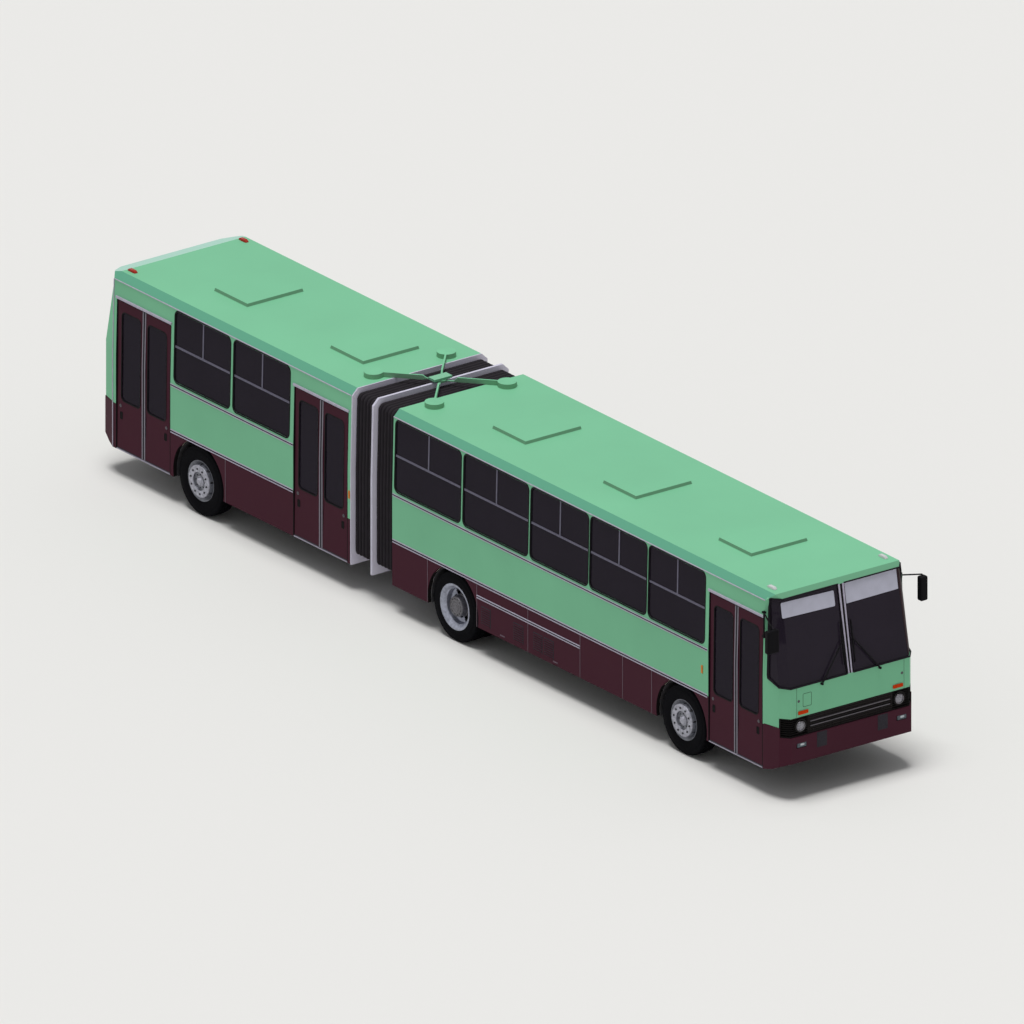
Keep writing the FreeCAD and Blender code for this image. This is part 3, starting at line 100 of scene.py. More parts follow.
def two_tone(finish, other, test):
    """Adds a second colour where test, Math nodes from place p and normal n to 0 or 1, says."""
    nodes, links = finish.node_tree.nodes, finish.node_tree.links
    colour = nodes["Principled BSDF"].inputs["Base Color"]
    mix = nodes.new("ShaderNodeMix")
    mix.data_type = "RGBA"
    links.new(colour.links[0].from_socket, mix.inputs[MIX_FIRST])
    mix.inputs[MIX_SECOND].default_value = (*other, 1)
    axes = []
    for source, output in (("ShaderNodeTexCoord", "Object"), ("ShaderNodeNewGeometry", "Normal")):
        split = nodes.new("ShaderNodeSeparateXYZ")
        links.new(nodes.new(source).outputs[output], split.inputs[0])
        axes.append(split.outputs)

    def reckon(kind, *values):
        step = nodes.new("ShaderNodeMath")
        step.operation = kind
        for socket, value in zip(step.inputs, values):
            if hasattr(value, "is_linked"):
                links.new(value, socket)
            else:
                socket.default_value = value
        return step.outputs[0]
    links.new(test(*axes, reckon), mix.inputs[0])
    links.new(mix.outputs[MIX_RESULT], colour)


chassis_black = coating("chassis_black", (0.036, 0.035, 0.039), 0.6, grain=9, mottle=0.4, dent=0.3)
floor_finish = coating("floor_finish", (0.052, 0.050, 0.055), 0.65, grain=12, mottle=0.3, dent=0.3)
two_tone(floor_finish, (0.17, 0.15, 0.13), lambda p, n, f: f("GREATER_THAN", n[2], 0.7))
dress(floor_finish, "front_floor", "rear_floor")
dress(chassis_black, "front_axle", "rear_axle", "drive_axle")

# ---- Engine and knuckles --------------------------------------------------------------------
# A lying diesel between the long beams with its gearbox behind it, cast iron under grey-green
# enamel. The steering knuckles are left as forged under a thin coat of black.
engine_grey = coating("engine_grey", (0.10, 0.115, 0.105), 0.55, 0.3, grain=7, mottle=0.45, dent=0.5,
                      fine=300)
forged = coating("forged_steel", (0.07, 0.068, 0.066), 0.5, 0.7, grain=30, mottle=0.3, dent=0.5, fine=250)
dress(engine_grey, "engine")
dress(forged, "front_knuckle_right", "front_knuckle_left", "rear_knuckle_right", "rear_knuckle_left")

# ---- Tyres ----------------------------------------------------------------------------------
# Radial truck tyres, moulded black rubber: four straight grooves, cut shoulder blocks, and raised
# rings on the sidewalls. They sit on split-bead steel wheels, in pairs on the drive axle.
NOSE = 8.22
TYRE_R = 0.535
WHEEL_Y = 1.075
TWIN_PITCH = 0.325
AXLES = {"front": 2.41, "drive": 7.93, "rear": 14.08}


def at(station):
    """Place along the bus of a point that far behind the nose."""
    return NOSE - station


def solid(rings, closed=False):
    """Skin over rings of equally many points; the ends are capped, or joined if closed."""
    count = len(rings[0])
    verts = [p for ring in rings for p in ring]
    faces = []
    for a in range(len(rings) if closed else len(rings) - 1):
        b = (a + 1) % len(rings)
        for i in range(count):
            j = (i + 1) % count
            faces.append((a * count + i, a * count + j, b * count + j, b * count + i))
    if not closed:
        faces += [tuple(reversed(range(count))), tuple(range(len(verts) - count, len(verts)))]
    return verts, faces


def piece(name, shapes, finish, body, smooth=35, bevel=0.0):
    """One object made of shapes, riding on body. Edges over smooth degrees stay crisp."""
    mesh = bpy.data.meshes.new(name)
    verts, faces = [], []
    for v, f in shapes:
        base = len(verts)
        verts += v
        faces += [tuple(base + i for i in face) for face in f]
    mesh.from_pydata([tuple(v) for v in verts], [], faces)
    work = bmesh.new()
    work.from_mesh(mesh)
    bmesh.ops.recalc_face_normals(work, faces=work.faces)
    for face in work.faces:
        face.smooth = True
    for edge in work.edges:
        if len(edge.link_faces) == 2 and edge.calc_face_angle(0) > math.radians(smooth):
            edge.smooth = False
    work.to_mesh(mesh)
    work.free()
    mesh.materials.append(finish)
    made = bpy.data.objects.new(name, mesh)
    bpy.context.scene.collection.objects.link(made)
    if bevel:
        soft = made.modifiers.new("edges", "BEVEL")
        soft.width, soft.segments, soft.limit_method = bevel, 2, "ANGLE"
        soft.harden_normals = True
    if body:
        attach(made, body)
    return made


def lathe(profile, x, y, side, count=96, change=None):
    """Closed profile of (outward, radius) points turned about an axle, the far side if -1."""
    rings = []
    for i in range(count):
        angle = 2 * math.pi * i / count
        points = [change(i, o, r) if change else (o, r) for o, r in profile]
        rings.append([(x + r * math.cos(angle), y + side * o, TYRE_R + r * math.sin(angle))
                      for o, r in points])
    return solid(rings, closed=True)


def cut_shoulder(i, o, r):
    """Every fourth step of the shoulder lies lower, which cuts it into blocks."""
    return (o, r - 0.010) if i % 4 == 0 and r > 0.525 and abs(o) > 0.075 else (o, r)


def wheel_places():
    """Axle, side as word and sign, place along the bus and body of each wheel or pair of twins."""
    for axle, station in AXLES.items():
        for side, word in ((-1, "right"), (1, "left")):
            body = f"drive_wheels_{word}" if axle == "drive" else f"{axle}_wheel_{word}"
            yield axle, word, side, at(station), body


tyre_rubber = coating("tyre_rubber", (0.0042, 0.0042, 0.0056), 0.7, grain=14, mottle=0.3, dent=0.35,
                      fine=500, shine=0.03)
half_tread = [(0.108, 0.296), (0.122, 0.306), (0.130, 0.314), (0.133, 0.322), (0.138, 0.326),
              (0.142, 0.352), (0.1448, 0.400), (0.1446, 0.440), (0.142, 0.462), (0.1385, 0.468),
              (0.1385, 0.486), (0.137, 0.504), (0.130, 0.520), (0.120, 0.527), (0.104, 0.532),
              (0.080, 0.5338), (0.079, 0.522), (0.071, 0.522), (0.070, 0.5343), (0.031, 0.535),
              (0.030, 0.523), (0.022, 0.523), (0.021, 0.535)]
tyre_line = half_tread + [(-o, r) for o, r in reversed(half_tread)] + [(-0.104, 0.2904), (0.104, 0.2904)]
for axle, word, side, x, body in wheel_places():
    shapes = [lathe(tyre_line, x, side * WHEEL_Y, side, 144, cut_shoulder)]
    if axle == "drive":
        shapes.append(lathe(tyre_line, x, side * (WHEEL_Y - TWIN_PITCH), side, 144, cut_shoulder))
    tyre = piece(f"{axle}_tyre_{word}", shapes, tyre_rubber, body, smooth=40)
    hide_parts(body)

# ---- Steel wheels ---------------------------------------------------------------------------
# Pressed steel wheels sprayed aluminium silver. On the steered axles a tall disc with hand holes
# stands out past the rim; on the drive axle a deep dish lies behind a broad stepped hub.
wheel_silver = coating("wheel_silver", (0.40, 0.40, 0.46), 0.40, 0.5, grain=26, mottle=0.3, dent=0.2)
# Painted shade: the steered wheels' disc flank, recess and rim take this darker grey, though they are the
# same silver as the face.
painted_shade_rim_grey = coating("painted_shade_rim_grey", (0.20, 0.205, 0.235), 0.40, 0.6, grain=22, mottle=0.3)
# The drive wheels' dish and rims are silver paint with a bluish painted sheen.
dish_silver_painted_sheen = coating("dish_silver_painted_sheen", (0.34, 0.355, 0.43), 0.36, 0.6, grain=22, mottle=0.3)
hub_grey = coating("hub_grey", (0.155, 0.150, 0.165), 0.42, 0.5, grain=40, mottle=0.35, dent=0.25)
nut_steel = coating("nut_steel", (0.045, 0.045, 0.052), 0.45, 0.5, grain=80, mottle=0.2, dent=0.1)
inner_half = [(-0.045, 0.270), (-0.060, 0.2895), (-0.1005, 0.2896), (-0.1025, 0.3055),
              (-0.1065, 0.3055), (-0.1085, 0.298), (-0.104, 0.262)]
narrow_rim = [(0.100, 0.258), (0.112, 0.286), (0.1325, 0.3035), (0.1345, 0.3085), (0.131, 0.3120),
              (0.124, 0.3080), (0.110, 0.2970), (0.1005, 0.2896), (0.060, 0.2895), (0.045, 0.270),
              *inner_half, (0.062, 0.258)]
wide_rim = [(0.078, 0.2665), (0.088, 0.2705), (0.0930, 0.2770), (0.1125, 0.2960), (0.1270, 0.3055),
            (0.1350, 0.3135), (0.1405, 0.3230), (0.1440, 0.3350), (0.1460, 0.3480), (0.1455, 0.3525),
            (0.1425, 0.3535), (0.1340, 0.3420), (0.122, 0.3220), (0.112, 0.3090), (0.104, 0.2925),
            (0.060, 0.2895), (0.045, 0.270), *inner_half, (-0.010, 0.262)]
flank = [(0.045, 0.2605), (0.100, 0.2590), (0.128, 0.2540), (0.158, 0.2460), (0.158, 0.2400),
         (0.120, 0.2450), (0.045, 0.2520)]
face = [(0.156, 0.2470), (0.166, 0.2440), (0.1725, 0.2370), (0.1735, 0.1900), (0.1725, 0.1460),
        (0.1690, 0.1410), (0.1600, 0.1400), (0.1620, 0.1500), (0.1640, 0.1900), (0.1620, 0.2300),
        (0.156, 0.2380)]
recess = [(0.166, 0.1412), (0.142, 0.1340), (0.139, 0.1000), (0.140, 0.0600), (0.130, 0.0600),
          (0.130, 0.1400), (0.160, 0.1480)]
cap = [(0.139, 0.078), (0.146, 0.076), (0.148, 0.066), (0.160, 0.056), (0.170, 0.050),
       (0.1725, 0.044), (0.1725, 0.020), (0.169, 0.016), (0.169, 0.001), (0.060, 0.001), (0.060, 0.078)]
dish = [(0.010, 0.2640), (0.012, 0.2560), (0.004, 0.2400), (-0.004, 0.2100), (-0.006, 0.1500),
        (-0.018, 0.1500), (-0.016, 0.2100), (-0.008, 0.2420), (-0.004, 0.2640)]
long_hub = [(-0.012, 0.170), (0.020, 0.168), (0.028, 0.158), (0.105, 0.155), (0.118, 0.152),
            (0.126, 0.146), (0.127, 0.138), (0.120, 0.134), (0.120, 0.112), (0.126, 0.108),
            (0.126, 0.086), (0.119, 0.082), (0.119, 0.060), (0.125, 0.056), (0.125, 0.030),
            (0.130, 0.026), (0.130, 0.001), (-0.012, 0.001)]


def circle(radius, count):
    """Evenly spaced points round a circle."""
    turns = [2 * math.pi * k / count for k in range(count)]
    return [(radius * math.cos(turn), radius * math.sin(turn)) for turn in turns]


def drum(x, y, z, side, out, length, radius, count=24):
    """Round bar across the bus that starts so far out from y; with a count of 6 it is a nut."""
    return solid([[(x + a, y + side * o, z + b) for a, b in circle(radius, count)]
                  for o in (out, out + length)])


def around(x, radius, count, first):
    """Places of that many fittings on a circle round the axle, the first at so many degrees."""
    for k in range(count):
        turn = math.radians(first + 360 * k / count)
        yield x + radius * math.cos(turn), TYRE_R + radius * math.sin(turn)


def finished_mesh(made):
    """Mesh of a piece with its modifiers carried out; the modifiers go."""
    bpy.context.view_layer.update()
    result = bpy.data.meshes.new_from_object(made.evaluated_get(bpy.context.evaluated_depsgraph_get()))
    made.modifiers.clear()
    return result


def drill(disc, shapes):
    """Cuts the openings out of a wheel disc."""
    tool = piece(disc.name + "_tool", shapes, wheel_silver, None)
    cut = disc.modifiers.new("holes", "BOOLEAN")
    cut.object, cut.solver = tool, "EXACT"
    disc.data = finished_mesh(disc)
    bpy.data.objects.remove(tool)


for axle, word, side, x, body in wheel_places():
    y = side * WHEEL_Y
    if axle == "drive":
        disc = piece(f"drive_disc_{word}", [lathe(dish, x, y, side)], dish_silver_painted_sheen, body)
        drill(disc, [drum(a, y, b, side, -0.1, 0.2, 0.056, 40) for a, b in around(x, 0.196, 4, 27)])
        nuts = [drum(a, y, b, side, 0.119, 0.009, 0.007, 6) for a, b in around(x, 0.123, 12, 15)]
        for first in (58, 86):
            nuts += [drum(a, y, b, side, -0.006, 0.030, 0.015, 6) for a, b in around(x, 0.186, 4, first)]
        inner_rim = lathe(narrow_rim, x, side * (WHEEL_Y - TWIN_PITCH), side)
        parts = {"rim": ([lathe(wide_rim, x, y, side), inner_rim], dish_silver_painted_sheen),
                 "hub": ([lathe(long_hub, x, y, side, 72)], hub_grey)}
    else:
        # The darker grey of the flank, the recess and the rim is painted shade.
        disc = piece(f"{axle}_disc_{word}", [lathe(flank, x, y, side)], painted_shade_rim_grey, body)
        drill(disc, [drum(a, y, b, side, 0.0, 0.2, 0.0165) for a, b in around(x, 0.2585, 9, 10)])
        nuts = []
        for a, b in around(x, 0.190, 10, 27.5):
            nuts += [drum(a, y, b, side, 0.171, length, radius, count)
                     for length, radius, count in ((0.0045, 0.0165, 20), (0.014, 0.0125, 6))]
        nuts += [drum(a, y, b, side, 0.137, 0.012, 0.009, 6) for a, b in around(x, 0.104, 8, 0)]
        parts = {"face": ([lathe(face, x, y, side)], wheel_silver),
                 "recess": ([lathe(recess, x, y, side, 72)], painted_shade_rim_grey),
                 "rim": ([lathe(narrow_rim, x, y, side)], painted_shade_rim_grey),
                 "hub": ([lathe(cap, x, y, side, 64)], wheel_silver)}
    parts["nuts"] = nuts, nut_steel
    for part, (shapes, finish) in parts.items():
        piece(f"{axle}_{part}_{word}", shapes, finish, body, smooth=30)

# ---- Splash panels --------------------------------------------------------------------------
# Flat panels of rubberised sheet screwed under the inner side of each wheel house, ahead of the
# axle and behind it. They keep road water off the springs and the frame.
splash_rubber = coating("splash_rubber", (0.034, 0.032, 0.035), 0.75, grain=18, mottle=0.3, dent=0.5,
                        fine=240, shine=0.05)
PANEL_FACES = 0.5800, 0.5848
panel_line = ((0.350, 0.715), (0.335, 0.470), (0.365, 0.430), (0.642, 0.430), (0.642, 0.560), (0.560, 0.715))
for section, axles in (("front", ("front", "drive")), ("rear", ("rear",))):
    panels = []
    for axle in axles:
        for side in (1, -1):
            for way in (1, -1):
                line = [(at(AXLES[axle]) + way * a, z) for a, z in panel_line]
                panels.append(solid([[(x, side * y, z) for x, z in line] for y in PANEL_FACES]))
    piece(f"{section}_splash_panels", panels, splash_rubber, f"{section}_section")

# ---- Side walls -----------------------------------------------------------------------------
# Steel panels spot-welded over the body frame, enamelled pale green above the waist and maroon
# below, and lined inside with cream laminate. The sides lean in above the windows' lower edge.
GREEN = (0.221, 0.570, 0.342)
MAROON = (0.0605, 0.0130, 0.0255)
CREAM = (0.42, 0.40, 0.34)
HALF = 1.25
WAIST, BEND, EAVES = 1.118, 1.85, 3.04
LEAN_IN = 0.028


def half_width(z):
    """Half the body's width at a height; it narrows from the bend to the eaves."""
    return HALF if z <= BEND else HALF - LEAN_IN * (z - BEND) / (EAVES - BEND)


def enamel(name, colour, roughness=0.33, grain=0.7, mottle=0.05, dent=0.05, fine=260):
    return coating(name, colour, roughness, grain=grain, mottle=mottle, dent=dent, fine=fine, shine=0.04)


body_enamel = enamel("body_enamel", GREEN)
two_tone(body_enamel, MAROON, lambda p, n, f: f("LESS_THAN", p[2], WAIST))
two_tone(body_enamel, CREAM, lambda p, n, f: f("LESS_THAN", f("ABSOLUTE", p[1]), 1.206))
two_tone(body_enamel, (0.012, 0.011, 0.011), lambda p, n, f: f(
    "MULTIPLY", f("LESS_THAN", f("ABSOLUTE", p[1]), 1.249), f("LESS_THAN", p[2], 0.93)))
dress(body_enamel, "front_wall_right", "front_wall_left", "rear_wall_right", "rear_wall_left")

# ---- Side trims -----------------------------------------------------------------------------
# Anodised aluminium mouldings: double rails at the waist and under the windows, a gutter along
# the eaves, joint covers on the skirt and a double rub rail. All are clipped over rivets.
trim_metal = coating("trim_metal", (0.46, 0.43, 0.53), 0.45, 0.1, grain=18, mottle=0.1, dent=0.06)
joint_grey = coating("joint_grey", (0.145, 0.100, 0.125), 0.5, 0.1, grain=18, mottle=0.1, dent=0.06,
                     shine=0.1)
# Black for rubber and plastic trim; round the doorways it also stands for the shadow in the gaps.
black_trim_and_gap_shadow = coating("black_trim_and_gap_shadow", (0.008, 0.007, 0.008), 0.7, grain=30, mottle=0.2, shine=0.08)
SKIRT_LOW = 0.420
RUB_RAIL = 4.86, 7.354
TRIM_RUNS = {("front", "right"): (1.79, 9.395, 1.79), ("rear", "right"): (11.80, 14.755, 11.80),
             ("front", "left"): (0.43, 9.395, 1.83), ("rear", "left"): (10.425, 16.15, 10.425)}
GUTTERS = {"front": (0.425, 9.395), "rear": (10.425, 16.15)}
JOINTS = {"front": (8.546, 7.354, 6.12, 4.86, 3.83, 3.13), "rear": (13.43,)}
LEFT_JOINTS = {"front": (1.72, 0.9), "rear": (12.2, 11.3, 14.8, 15.5)}


def rail(s0, s1, z0, z1, side, proud=0.006, sink=0.0):
    """Shallow strip on the skin with eased edges, between two stations and two heights."""
    ease = min(0.003, (z1 - z0) * 0.25)
    bend = [BEND] if z0 + ease < BEND < z1 - ease else []
    line = [(z0, -sink), (z0, proud * 0.5), (z0 + ease, proud)] + [(z, proud) for z in bend]
    line += [(z1 - ease, proud), (z1, proud * 0.5), (z1, -sink)] + [(z, -sink) for z in bend]
    return solid([[(at(s), side * (half_width(z) + out), z) for z, out in line] for s in (s0, s1)])


for (section, word), (start, end, sill_start) in TRIM_RUNS.items():
    side = -1 if word == "right" else 1
    body = f"{section}_section"
    strips = [rail(start, end, low, low + 0.018, side) for low in (1.088, 1.127)]
    strips += [rail(sill_start, end, low, low + 0.015, side) for low in (1.810, 1.842)]
    strips.append(rail(*GUTTERS[section], 3.030, 3.045, side, 0.010))
    beds = [rail(start, end, 1.106, 1.127, side, 0.002), rail(sill_start, end, 1.825, 1.842, side, 0.002)]
    if section == "rear":
        strips.append(rail(16.142, 16.157, SKIRT_LOW, 3.030, side, 0.008))
    else:
        strips += [rail(*RUB_RAIL, low, low + 0.017, side, 0.008) for low in (0.868, 0.904)]
        beds.append(rail(*RUB_RAIL, 0.885, 0.904, side, 0.002))
    joints = JOINTS[section] + (LEFT_JOINTS[section] if side > 0 else ())
    covers = [rail(s - 0.006, s + 0.006, SKIRT_LOW, 1.088, side, 0.004) for s in joints]
    piece(f"{section}_trims_{word}", strips, trim_metal, body)
    piece(f"{section}_joint_covers_{word}", covers, joint_grey, body)
    piece(f"{section}_trim_beds_{word}", beds, black_trim_and_gap_shadow, body)

# ---- Skirt fittings -------------------------------------------------------------------------
# Hinged maroon flaps in the skirt with pressed cooling louvres and pull handles, and amber marker
# lamps with moulded lenses screwed to the side.
maroon_enamel = enamel("maroon_enamel", MAROON, 0.36, grain=0.9, mottle=0.06)
amber_lens = coating("amber_lens", (0.72, 0.20, 0.01), 0.25, grain=90, mottle=0.15)
louvre_shadow = coating("louvre_shadow", (0.034, 0.034, 0.042), 0.6, grain=30, mottle=0.2, shine=0.08)
LOUVRE_PITCH = 0.0352
louvre_line = ((0, 0), (0, 0.009), (0.004, 0.010), (0.019, 0.001))
for side, word in ((-1, "right"), (1, "left")):
    slats, beds, pulls = [], [], []
    for s0, s1 in ((7.02, 7.25), (6.23, 6.47), (5.77, 5.99), (5.50, 5.735)):
        beds.append(rail(s0, s1, 0.49, 0.78, side, 0.0015))
        for k in range(8):
            z = 0.497 + k * LOUVRE_PITCH
            slats.append(solid([[(x, side * (HALF + o), z + h) for h, o in louvre_line]
                                for x in (at(s0 + 0.012), at(s1 - 0.012))]))
    for s0, s1 in ((6.68, 6.79), (5.40, 5.51)):
        pulls.append(rail(s0 + 0.010, s1 - 0.010, 0.465, 0.477, side, 0.014))
        pulls.append(rail(s0, s1, 0.459, 0.483, side, 0.002))
    piece(f"louvres_{word}", slats, maroon_enamel, "front_section")
    piece(f"louvre_beds_{word}", beds, louvre_shadow, "front_section")
    piece(f"flap_pulls_{word}", pulls, joint_grey, "front_section")
    for section, s in (("front", 1.91 if side < 0 else 3.07), ("rear", 10.437)):
        lens = rail(s - 0.017, s + 0.017, 1.435, 1.558, side, 0.012)
        piece(f"{section}_side_marker_{word}", [lens], amber_lens, f"{section}_section",
              bevel=0.003)

# ---- Side windows ---------------------------------------------------------------------------
# Tinted toughened panes in black rubber, with round corners. The upper halves slide in slim
# aluminium frames, and a transom bar carries them.
row = [(1.850, 3.235), (3.260, 4.650), (4.670, 6.088), (6.120, 7.710), (7.750, 9.358)]
pair = [(11.883, 13.267), (13.320, 14.688)]
WINDOWS = {("front", "right"): row, ("rear", "right"): pair, ("front", "left"): row,
           ("rear", "left"): [(10.490, 11.840), *pair, (14.740, 16.060)]}
WINDOW_LOW, WINDOW_HIGH, WINDOW_CORNER = 1.888, 3.023, 0.100
seal_rubber = coating("seal_rubber", (0.007, 0.007, 0.0075), 0.55, grain=40, mottle=0.2, dent=0.2,
                      shine=0.08)
frame_grey = coating("frame_grey", (0.160, 0.153, 0.205), 0.5, 0.1, grain=25, shine=0.1)


def glass(name, colour, shine):
    """Dark tinted glass that lets a little of the inside through."""
    made = coating(name, colour, 0.1, grain=1.5, mottle=0.08, dent=0.0, shine=shine)
    made.node_tree.nodes["Principled BSDF"].inputs["Alpha"].default_value = 0.93
    return made


tinted_glass = glass("tinted_glass", (0.0160, 0.0115, 0.0210), 0.05)


def rounded_loop(x0, x1, z0, z1, r, steps=7):
    """Closed line of a rectangle with round corners, each point with the way out from it."""
    x0, x1 = min(x0, x1), max(x0, x1)
    line = []
    for cx, cz, start in ((x1 - r, z1 - r, 0), (x0 + r, z1 - r, 90), (x0 + r, z0 + r, 180),
                          (x1 - r, z0 + r, 270)):
        for k in range(steps + 1):
            a = math.radians(start + 90 * k / steps)
            line.append((cx + r * math.cos(a), cz + r * math.sin(a), math.cos(a), math.sin(a)))
    return line


def skin_ring(line, grow, inset, side):
    """The line grown along the skin by so much and set in from it by so much."""
    return [(x + nx * grow, side * (half_width(z + nz * grow) - inset), z + nz * grow)
            for x, z, nx, nz in line]


def seal(line, profile, side):
    """Strip along a closed line on the skin, through (outwards along the skin, inset) points."""
    return solid(list(zip(*[skin_ring(line, grow, inset, side) for grow, inset in profile])), closed=True)


def pane(line, inset, side, grow):
    """Pane 5 mm thick within a closed line, so far in from the skin."""
    return solid([skin_ring(line, grow, d, side) for d in (inset, inset + 0.005)])


window_rubber = [(0.004, 0.000), (0.003, -0.004), (-0.004, -0.007), (-0.014, -0.005), (-0.022, 0.003),
                 (-0.024, 0.011), (-0.018, 0.022), (-0.001, 0.022)]
for (section, word), table in WINDOWS.items():
    side = -1 if word == "right" else 1
    body = f"{section}_section"
    seals, panes, bars = [], [], []
    for s0, s1 in table:
        line = rounded_loop(at(s0 + 0.001), at(s1 - 0.001), WINDOW_LOW, WINDOW_HIGH, WINDOW_CORNER)
        seals.append(seal(line, window_rubber, side))
        panes.append(pane(line, 0.0145, side, -0.0195))
        bars.append(rail(s0 + 0.021, s1 - 0.021, 2.440, 2.468, side, -0.006, 0.026))
        middle = (s0 + s1) / 2
        bars.append(rail(middle - 0.013, middle + 0.013, 2.4682, WINDOW_HIGH - 0.021, side, -0.007, 0.026))
    piece(f"{section}_window_seals_{word}", seals, seal_rubber, body, smooth=50)
    panes = piece(f"{section}_panes_{word}", panes, tinted_glass, body)
    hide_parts(f"{section}_windows")
    piece(f"{section}_window_bars_{word}", bars, frame_grey, body)

# ---- Driver's side window -------------------------------------------------------------------
# A taller two-part window beside the driver, its front half dropping in its frame, in the same
# black rubber.
line = rounded_loop(at(0.521), at(1.779), 1.640, WINDOW_HIGH, WINDOW_CORNER)
piece("driver_window_seal", [seal(line, window_rubber, 1)], seal_rubber, "front_section",
      smooth=50)
piece("driver_pane", [pane(line, 0.0145, 1, -0.0195)], tinted_glass, "front_section")
upright = rail(1.13, 1.165, 1.66, WINDOW_HIGH - 0.021, 1, -0.007, 0.026)
piece("driver_window_bars", [upright], frame_grey, "front_section")

# ---- Doors ----------------------------------------------------------------------------------
# Two maroon leaves to a doorway, each a pressed steel frame with a long rounded pane in rubber,
# soft rubber clamped to the meeting edge and a square-key lock over a sunk pull. Each leaf hangs
# on a turning post and swings in, under an aluminium rain rail.
DOORS = {"front_door": (0.458, 1.754), "middle_door": (10.487, 11.783), "rear_door": (14.770, 16.066)}
LEAF_LOW, LEAF_HIGH, LEAF_OUT, LEAF_IN = 0.440, 2.735, 0.008, 0.044
LEAF_FACE = HALF - LEAF_OUT
POST_FACE = -1.152
edge_rubber = coating("edge_rubber", (0.060, 0.058, 0.070), 0.6, grain=40, mottle=0.15, shine=0.05)
edge_metal = coating("edge_metal", (0.247, 0.228, 0.275), 0.4, grain=25, mottle=0.08)
lock_metal = coating("lock_metal", (0.105, 0.095, 0.110), 0.4, 0.5, grain=90, mottle=0.2)
post_steel = coating("post_steel", (0.30, 0.30, 0.31), 0.35, 0.8, grain=50, mottle=0.15)
leaf_rubber = [(0.009, 0.0078), (0.008, 0.005), (0.000, 0.003), (-0.006, 0.005), (-0.009, 0.012),
               (-0.008, 0.0215), (-0.001, 0.0215), (-0.001, 0.0078)]
lip_line = ((0.031, 0.0082), (0.031, 0.005), (0.0155, 0.004), (0, 0.008), (0, 0.040), (0.0155, 0.044),
            (0.0155, 0.0082))
clamp_line = ((0.0320, 0.0083), (0.0320, 0.0036), (0.0305, 0.0024), (0.0120, 0.0024), (0.0105, 0.0036),
              (0.0105, 0.0056), (0.0135, 0.0042), (0.0155, 0.0036), (0.0305, 0.0044), (0.0305, 0.0083))
pull_steps = ((0, 0), (0, 0.004), (-0.006, 0.004), (-0.009, 0.0006), (-0.012, 0.0004))


def leaf_section(line, meet, way):
    """Upright section along a leaf's meeting edge, of (back from the edge, inset) points."""
    return [solid([[(at(meet - way * s), -(half_width(z) - d), z) for s, d in line] for z in heights])
            for heights in ((LEAF_LOW, BEND), (BEND, LEAF_HIGH))]


